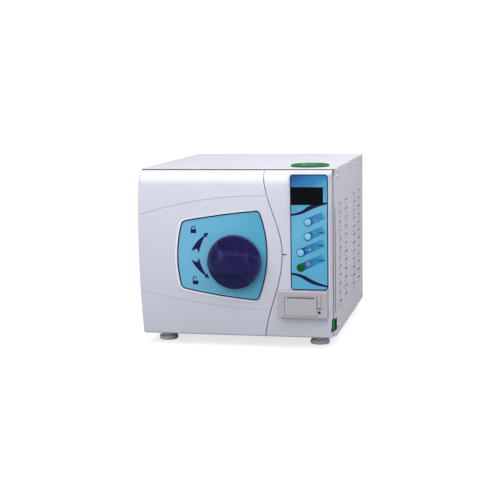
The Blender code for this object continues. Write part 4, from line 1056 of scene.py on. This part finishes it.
def make_all_screws():
    master = screw_shape()
    rows = [(y, z) for y in (34.0, 242.0, 452.0) for z in (374.0, 359.0, 20.0)]
    for label, side in (("left", -1.0), ("right", 1.0)):
        places = [(side * HALF_WIDTH, y, z) for y, z in rows]
        make_screws(f"case_screws_{label}", master, places, (side, 0, 0))
    rear = [(x, DEPTH, z) for x in (-208.0, 0.0, 208.0) for z in (12.0, 372.0)]
    rear += [(x, DEPTH, 190.0) for x in (-208.0, 208.0)]
    fan = middle("fan_frame")
    rear += [(fan.x + dx, DEPTH + 1.2, fan.z + dz) for dx in (-35.75, 35.75) for dz in (-35.75, 35.75)]
    make_screws("rear_screws", master, rear, (0, 1, 0))
    master.free()


# ---------------------------------------------------------------- filler, feet, switch

def make_filler():
    cap_x, _, cap_z = cad("filler_cap")
    at = {"centre": (middle("filler_cap").x, middle("filler_cap").y, 0.0)}
    outer = (cap_x[1] - cap_x[0]) / 2.0
    low, high = cap_z[1] - 3.4, cap_z[1]
    profile = [(0.0, high - 9.5), (23.0, high - 9.5), (28.0, high - 7.0), (31.5, high - 0.9),
               (33.5, high), (41.5, high), (outer, high - 1.6), (outer, low), (31.0, low),
               (31.0, cap_z[0]), (0.0, cap_z[0])]
    cap = new_object("filler_cap_skin", lathe(soft_profile(profile, 2.5, 5), 96, **at), CAP_GREEN)
    mid_x, mid_y, _ = at["centre"]
    bar = rounded_box((mid_x - 27.5, mid_x + 27.5), (mid_y - 4.5, mid_y + 4.5),
                      (high - 11.0, high - 2.0), 2.0, 4)
    bmesh.ops.rotate(bar, cent=at["centre"], matrix=Matrix.Rotation(radians(20.0), 3, 'Z'), verts=bar.verts)
    combine(cap, bar, 'UNION')
    piece(cap, "filler_cap", ("filler_cap",))
    neck = [(34.0, 352.0), (37.5, 352.0), (37.5, 380.3), (42.5, 380.3), (42.5, 381.3), (34.0, 381.3)]
    add("filler_collar", lathe(neck, 72, ring=True, **at), BLACK, "cabinet", ("filler_neck",))
    seal_mid = 370.0
    seal = [(32.4 + 1.1 * cos(a), seal_mid + 1.9 * sin(a)) for a in [2.0 * pi * i / 12 for i in range(12)]]
    add("filler_seal", lathe(seal, 72, ring=True, **at), BLACK, "cap_seal", ("cap_seal",))


def make_feet():
    for number in (1, 2, 3, 4):
        node = f"foot_{number}"
        x, _, z = cad(node)
        radius = (x[1] - x[0]) / 2.0
        low = z[0]
        profile = [(0.0, low), (radius - 1.2, low), (radius, low + 1.4), (radius, low + 7.6),
                   (radius - 1.6, low + 9.4), (radius - 4.0, low + 9.8), (14.0, low + 10.4),
                   (12.6, low + 11.2), (12.6, low + 16.0),
                   (8.0, low + 16.8), (8.0, z[1]), (0.0, z[1])]
        mid = middle(node)
        foot = lathe(soft_profile(profile, 1.2, 4), 64, centre=(mid.x, mid.y, 0.0))
        add(f"foot_disc_{number}", foot, FOOT_SKIN, "cabinet", (node,))


SWITCH_FRONT_X = 214.8                  # the switch's face slants from here out past the side sheet
ROCKER_INSET = 7.0
ROCKER_TILT = radians(10.0)


def on_switch_face(out, along):
    """Plan position out from the switch's slanted face and along it from its middle."""
    (_, outer), (front, back), _ = cad("switch_bezel")
    slant = atan2(outer - SWITCH_FRONT_X, back - front)
    return ((SWITCH_FRONT_X + outer) / 2.0 + out * cos(slant) + along * sin(slant),
            (front + back) / 2.0 - out * sin(slant) + along * cos(slant))


def plan_prism(outline, low, high, radius):
    """Upright prism over an outline in (x, y), with rounded edges."""
    shape = bmesh.new()
    ends = [[shape.verts.new((x, y, level)) for x, y in outline] for level in (low, high)]
    shape.faces.new(ends[0][::-1])
    shape.faces.new(ends[1])
    bridge(shape, ends)
    if radius:
        soften(shape, shape.edges[:], radius, 3)
    return shape


def make_switch():
    x, y, z = cad("switch_bezel")
    _, _, rocker_z = cad("power_rocker")
    outline = ((x[0], y[0]), (SWITCH_FRONT_X, y[0]), (x[1], y[1]), (x[0], y[1]))
    bezel = new_object("switch_surround", plan_prism(outline, *z, 1.3), BLACK)
    slot = [on_switch_face(*corner) for corner in rectangle((-14.5, 5.0), (-12.3, 12.3))]
    combine(bezel, plan_prism(slot, rocker_z[0] - 0.4, rocker_z[1] + 0.4, 0.0))
    piece(bezel, "cabinet", ("switch_bezel",))
    outline = []
    for u, v in ((6.8, -10.5), (5.7, -5.0), (5.2, 0.0), (5.7, 5.0), (6.8, 10.5), (-2.5, 10.5), (-6.0, 4.0),
                 (-6.0, -4.0), (-2.5, -10.5)):
        out = u * cos(ROCKER_TILT) - v * sin(ROCKER_TILT)
        outline.append(on_switch_face(out - ROCKER_INSET, u * sin(ROCKER_TILT) + v * cos(ROCKER_TILT)))
    rocker = plan_prism(outline, *rocker_z, 0.45)
    add("rocker_skin", rocker, ROCKER_GREEN, "power_rocker", ("power_rocker",))


# ---------------------------------------------------------------- rear services

def make_rear():
    fan = middle("fan_frame")
    guard = bmesh.new()
    for radius in (6.0, 14.0, 22.0, 30.0, 37.0):
        wire = circle((radius, DEPTH + 1.2), 0.8, 8)
        add_shape(guard, lathe(wire, 64, (0, 1, 0), (fan.x, 0, fan.z), ring=True))
    for turn in (45.0, 135.0, 225.0, 315.0):
        direction = Vector((cos(radians(turn)), 0.0, sin(radians(turn))))
        spoke = lathe(((0.0, 5.0), (0.8, 5.0), (0.8, 46.0), (0.0, 46.0)), 8, direction,
                      (fan.x, DEPTH + 0.7, fan.z))
        add_shape(guard, spoke)
        loop = [(3.6, -0.6), (5.2, -0.6), (5.2, 0.6), (3.6, 0.6)]
        eye = Vector((fan.x, DEPTH + 0.7, fan.z)) + direction * 50.5
        add_shape(guard, lathe(loop, 24, (0, 1, 0), eye, ring=True))
    add("fan_guard", guard, SCREW, "cabinet")


def finish_cad_nodes():
    """Materials of the CAD nodes that are shown as they are."""
    finishes = {
        PAINT: ("base_pan", "rear_panel"),
        STEEL: ("tray_rack", "tray_1", "tray_2", "tray_3", "door_liner", "chamber"),
        TURNED: ("chamber_flange", "pressure_plate", "plate_bolt", "hinge_pin", "knob_spindle", "latch_bolt",
                 "door_bridge", "hinge_bracket", "latch_keeper"),
        ZINC: ("front_frame", "heater_band"),
        ALLOY: ("condenser", "vacuum_pump", "steam_generator"),
        BRASS: ("knob_bush", "safety_valve", "drain_coupling"),
        SILICONE: ("door_seal",),
        BLACK: ("fan_frame", "fan_rotor", "power_inlet"),
        BOARD: ("control_board",),
        TANK: ("water_tank", "waste_tank"),
        BLANKET: ("insulation_jacket",),
    }
    for finish, names in finishes.items():
        for name in names:
            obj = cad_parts[name]
            obj.data.materials.clear()
            obj.data.materials.append(finish)


# ---------------------------------------------------------------- stage

def towards(azimuth, elevation):
    """Direction from the object to (azimuth, elevation) in degrees; azimuth 0 is its front."""
    azimuth, elevation = radians(azimuth), radians(elevation)
    return Vector((sin(azimuth) * cos(elevation), -cos(azimuth) * cos(elevation), sin(elevation)))


def make_camera():
    roll = radians(-0.889)
    back = towards(12.35, 8.176)
    right = Vector((0, 0, 1)).cross(back).normalized()
    up = back.cross(right)
    rolled_right = right * cos(roll) + up * sin(roll)
    rolled_up = up * cos(roll) - right * sin(roll)
    camera = in_scene("camera", bpy.data.cameras.new("camera"))
    rotation = Matrix((rolled_right, rolled_up, back)).transposed().to_4x4()
    camera.matrix_world = Matrix.Translation(Vector((603.06, -2628.13, 581.26)) * MM + SHIFT) @ rotation
    camera.data.sensor_width = 36.0
    camera.data.lens = 86.5
    bpy.context.scene.camera = camera


def shine(name, light, direction, place=(0.0, 0.0, 0.0)):
    """Put a light in the scene, aimed along a direction."""
    obj = in_scene(name, light)
    obj.location = place
    obj.rotation_mode = 'QUATERNION'
    obj.rotation_quaternion = direction.to_track_quat('-Z', 'Y')


def area_light(name, place, target, size, power):
    light = bpy.data.lights.new(name, 'AREA')
    light.shape = 'RECTANGLE'
    light.size, light.size_y = size
    light.energy = power
    shine(name, light, Vector(target) - Vector(place), place)


def make_world():
    """Soft studio light from above that fades towards the horizon; the camera sees plain white."""
    world = bpy.data.worlds.new("studio")
    world.use_nodes = True
    tree = world.node_tree
    split = add_node(tree, "SeparateXYZ", {"Vector": add_node(tree, "TexCoord").outputs["Generated"]})
    height = add_node(tree, "MapRange", {"From Min": -0.1, "From Max": 1.0, "To Min": WORLD_LOW,
                                         "To Max": WORLD_HIGH, "Value": split.outputs["Z"]})
    path = add_node(tree, "LightPath")
    choose = add_node(tree, "Mix", {"Factor": path.outputs["Is Camera Ray"], "A": height.outputs["Result"],
                                    "B": CAMERA_WHITE}, data_type='FLOAT')
    backdrop = tree.nodes["Background"]
    tree.links.new(choose.outputs["Result"], backdrop.inputs["Strength"])
    backdrop.inputs["Color"].default_value = (1.0, 1.0, 1.0, 1.0)
    bpy.context.scene.world = world


def make_stage():
    make_world()
    bpy.context.scene.view_settings.view_transform = 'Standard'
    sun = bpy.data.lights.new("key", 'SUN')
    sun.energy = 3.2
    sun.angle = radians(90.0)
    shine("key", sun, -towards(-12.0, 62.0))
    area_light("side_box", (1.0, -0.2, 1.15), (0.22, 0.15, 0.3), (0.6, 0.6), 6.5)
    area_light("left_box", (-1.55, -2.05, 0.60), (0.0, -0.2, 0.2), (0.8, 0.9), 3.2)
    area_light("right_box", (1.3, -2.2, 0.55), (0.0, -0.2, 0.2), (0.4, 0.6), 1.2)

    shape = bmesh.new()
    bmesh.ops.create_grid(shape, x_segments=1, y_segments=1, size=60000.0)
    white = surface("floor_white", (0.30, 0.30, 0.305, 1.0), 0.9, shade=0.01,
                    Emission_Color=(1.0, 1.0, 1.0, 1.0))
    tree = white.node_tree
    path = add_node(tree, "LightPath")
    glow = add_node(tree, "Math", {0: path.outputs["Is Camera Ray"], 1: FLOOR_GLOW}, operation='MULTIPLY')
    tree.links.new(glow.outputs["Value"], tree.nodes["Principled BSDF"].inputs["Emission Strength"])
    floor = new_object("floor", shape, white, (0, 0, 1))
    floor.location.z = -SHIFT.z


def main():
    make_camera()
    make_stage()
    make_door()
    make_door_marks()
    make_knob()
    make_fascia()
    make_gap_shade_strip()
    make_catch_mark()
    make_overlay()
    make_swooshes()
    make_bands()
    make_icons()
    make_display()
    make_buttons()
    make_printer()
    make_side("side_sheet_left", "side_panel_left", -1.0)
    make_side("side_sheet_right", "side_panel_right", 1.0)
    make_top()
    make_all_screws()
    make_filler()
    make_feet()
    make_switch()
    make_rear()
    finish_cad_nodes()


main()
